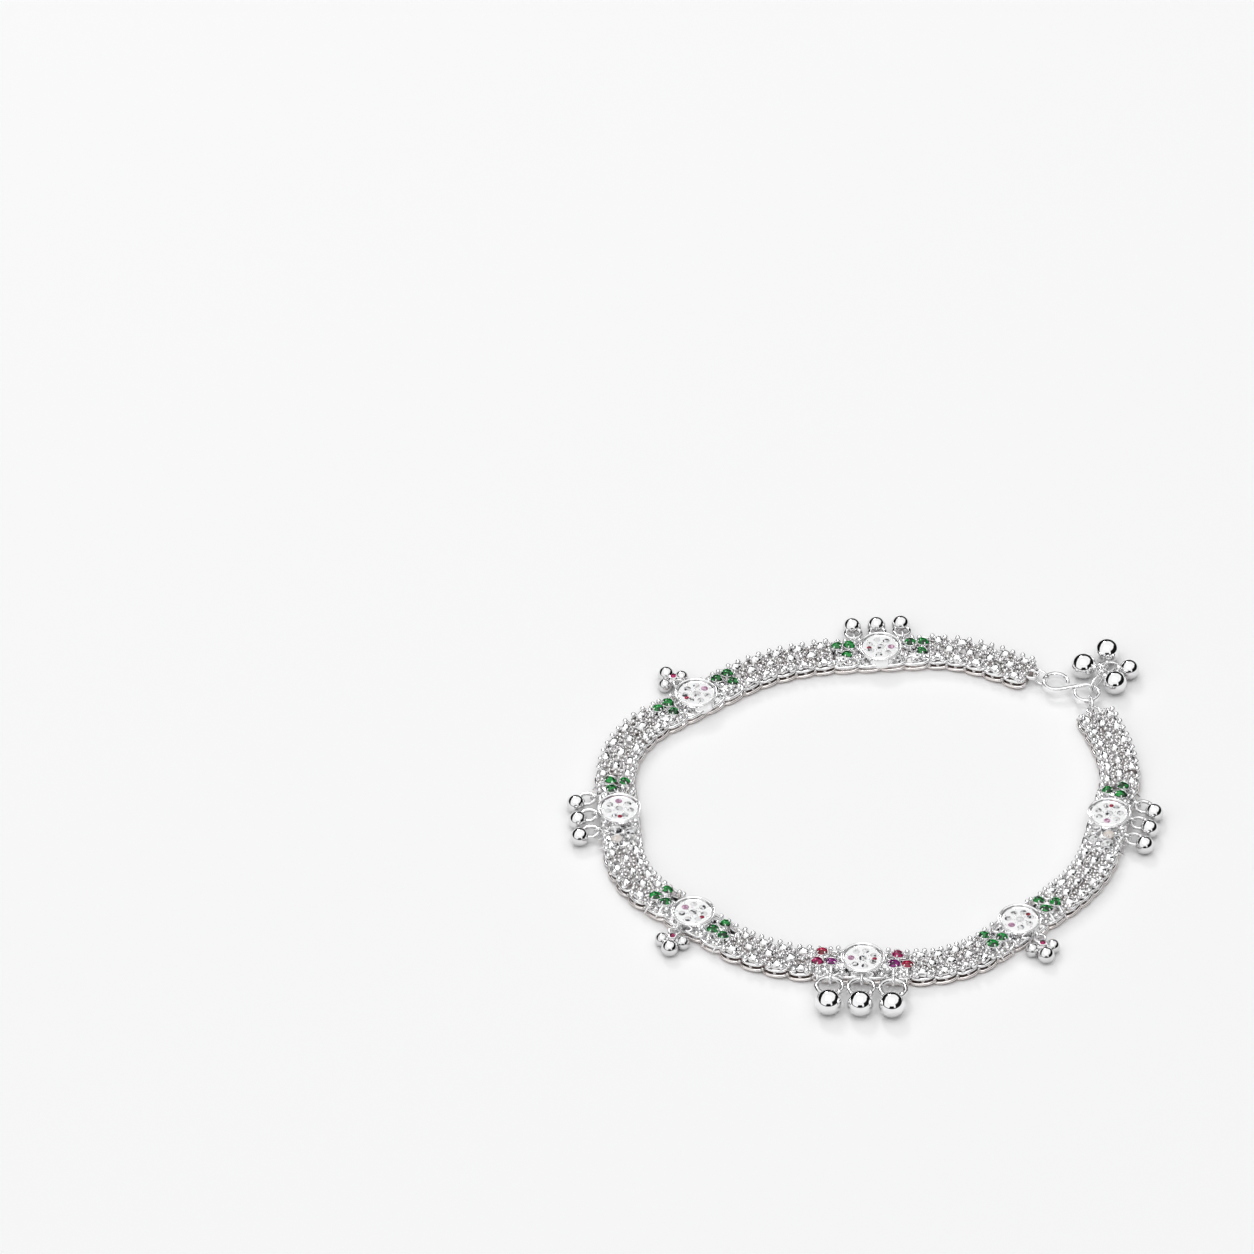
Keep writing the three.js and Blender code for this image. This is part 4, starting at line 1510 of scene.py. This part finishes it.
class Studio:
    """White floor, sky, two area lights and camera."""

    sizes = StudioSizes()

    def _camera(self, origin: np.ndarray) -> None:
        """Looks along +Y and down."""
        s = self.sizes
        slope = math.radians(s.elevation)
        up = np.array([0, math.sin(slope), math.cos(slope)])
        back = np.array([0, -math.cos(slope), math.sin(slope)])
        aim = np.array([origin[0] + s.aim_aside, origin[1], 0]) + up * s.aim_up
        data = bpy.data.cameras.new("camera")
        data.lens, data.sensor_width = s.lens, s.sensor
        data.clip_start, data.clip_end = 0.01, 20
        camera = bpy.data.objects.new("camera", data)
        camera.location = Vector((aim + back * s.distance) * MM)
        camera.rotation_euler = (math.pi / 2 - slope, 0, 0)
        bpy.context.scene.collection.objects.link(camera)
        bpy.context.scene.camera = camera

    def _floor(self) -> None:
        """A wide white sheet."""
        s = self.sizes
        mesh = bpy.data.meshes.new("floor")
        half = s.floor * MM
        corners = [(-half, -half, 0), (half, -half, 0), (half, half, 0), (-half, half, 0)]
        mesh.from_pydata(corners, [], [(0, 1, 2, 3)])
        material = bpy.data.materials.new("paper")
        material.use_nodes = True
        shader = material.node_tree.nodes["Principled BSDF"]
        paper = {"Base Color": s.floor_colour, "Roughness": 0.6, "Specular IOR Level": 0.1}
        Nodes(material.node_tree).feed(shader, paper)
        mesh.materials.append(material)
        floor = bpy.data.objects.new("floor", mesh)
        bpy.context.scene.collection.objects.link(floor)

    @staticmethod
    def _light(plan: AreaLight, origin: np.ndarray) -> None:
        """A square area light that shines on the anklet's middle."""
        data = bpy.data.lights.new(plan.name, "AREA")
        data.shape, data.size = "SQUARE", plan.size * MM
        data.energy = plan.power
        light = bpy.data.objects.new(plan.name, data)
        x, y, z = plan.place
        light.location = Vector(((origin[0] + x) * MM, (origin[1] + y) * MM, z * MM))
        aim = Vector((origin[0] * MM, origin[1] * MM, 0)) - light.location
        light.rotation_euler = aim.to_track_quat("-Z", "Y").to_euler()
        bpy.context.scene.collection.objects.link(light)

    def _sky(self) -> None:
        """A white sky with dark low parts: on the camera's side, on its right and behind on its left."""
        world = bpy.data.worlds.new("studio")
        world.use_nodes = True
        bpy.context.scene.world = world
        nodes = Nodes(world.node_tree)
        axes = nodes.add("SeparateXYZ", {0: nodes.add("TexCoord")["Generated"]})
        height = axes["Z"]
        bearing = nodes.sum_of("ARCTAN2", axes["X"], nodes.sum_of("MULTIPLY", axes["Y"], -1.0))
        tops = world.node_tree.nodes.new("ShaderNodeValToRGB")
        self._ramp(tops, [((turn + 180) / 360, top) for turn, top in SKY_TOPS])
        nodes.feed(tops, {0: nodes.rise(bearing, -math.pi, math.pi)})
        over = nodes.sum_of("SUBTRACT", tops.outputs["Color"], height)
        under = nodes.rise(over, -DARK_EDGE, DARK_EDGE)
        dark = nodes.sum_of("MULTIPLY", under, nodes.rise(height, *DARK_START))
        colour = nodes.mixed(dark, self.sizes.sky, self.sizes.sky_dark)
        nodes.feed(world.node_tree.nodes["Background"], {"Color": colour, "Strength": 1.0})

    @staticmethod
    def _ramp(node: bpy.types.Node, stops: Sequence[tuple[float, float]]) -> None:
        """Sets a ramp's stops from rows of position and grey."""
        ramp = node.color_ramp
        while len(ramp.elements) < len(stops):
            ramp.elements.new(0.5)
        for element, (position, grey) in zip(ramp.elements, stops):
            element.position = position
            element.color = (grey, grey, grey, 1)

    def build(self, origin: np.ndarray) -> None:
        """Sets the scene round the anklet's route."""
        self._floor()
        self._sky()
        for plan in LIGHTS:
            self._light(plan, origin)
        self._camera(origin)
        bpy.context.scene.view_settings.view_transform = "Standard"
        log.info("studio: floor, sky, two lights and camera")


def main() -> None:
    """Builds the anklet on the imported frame."""
    logging.basicConfig(level=logging.INFO, format="%(name)s: %(message)s")
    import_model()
    layout = Layout()
    shop = Workshop(Finishes())
    low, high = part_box(ANCHOR_NODE)
    middle = np.array([low.x + high.x, low.y + high.y]) / 2 / MM
    shop.origin = middle - layout.stations[ANCHOR_STATION][0]
    random = np.random.default_rng(SEED)
    for index, line in enumerate(layout.bands):
        WovenBand(index, line, random).build(shop, layout)
    for index, plan in enumerate(STATIONS):
        Station(index, plan, random).build(shop, layout)
    Clasp().build(shop, layout)
    Cluster().build(shop, layout)
    Studio().build(shop.origin)
    log.info("%d pieces", shop.count)


if __name__ == "__main__":
    main()
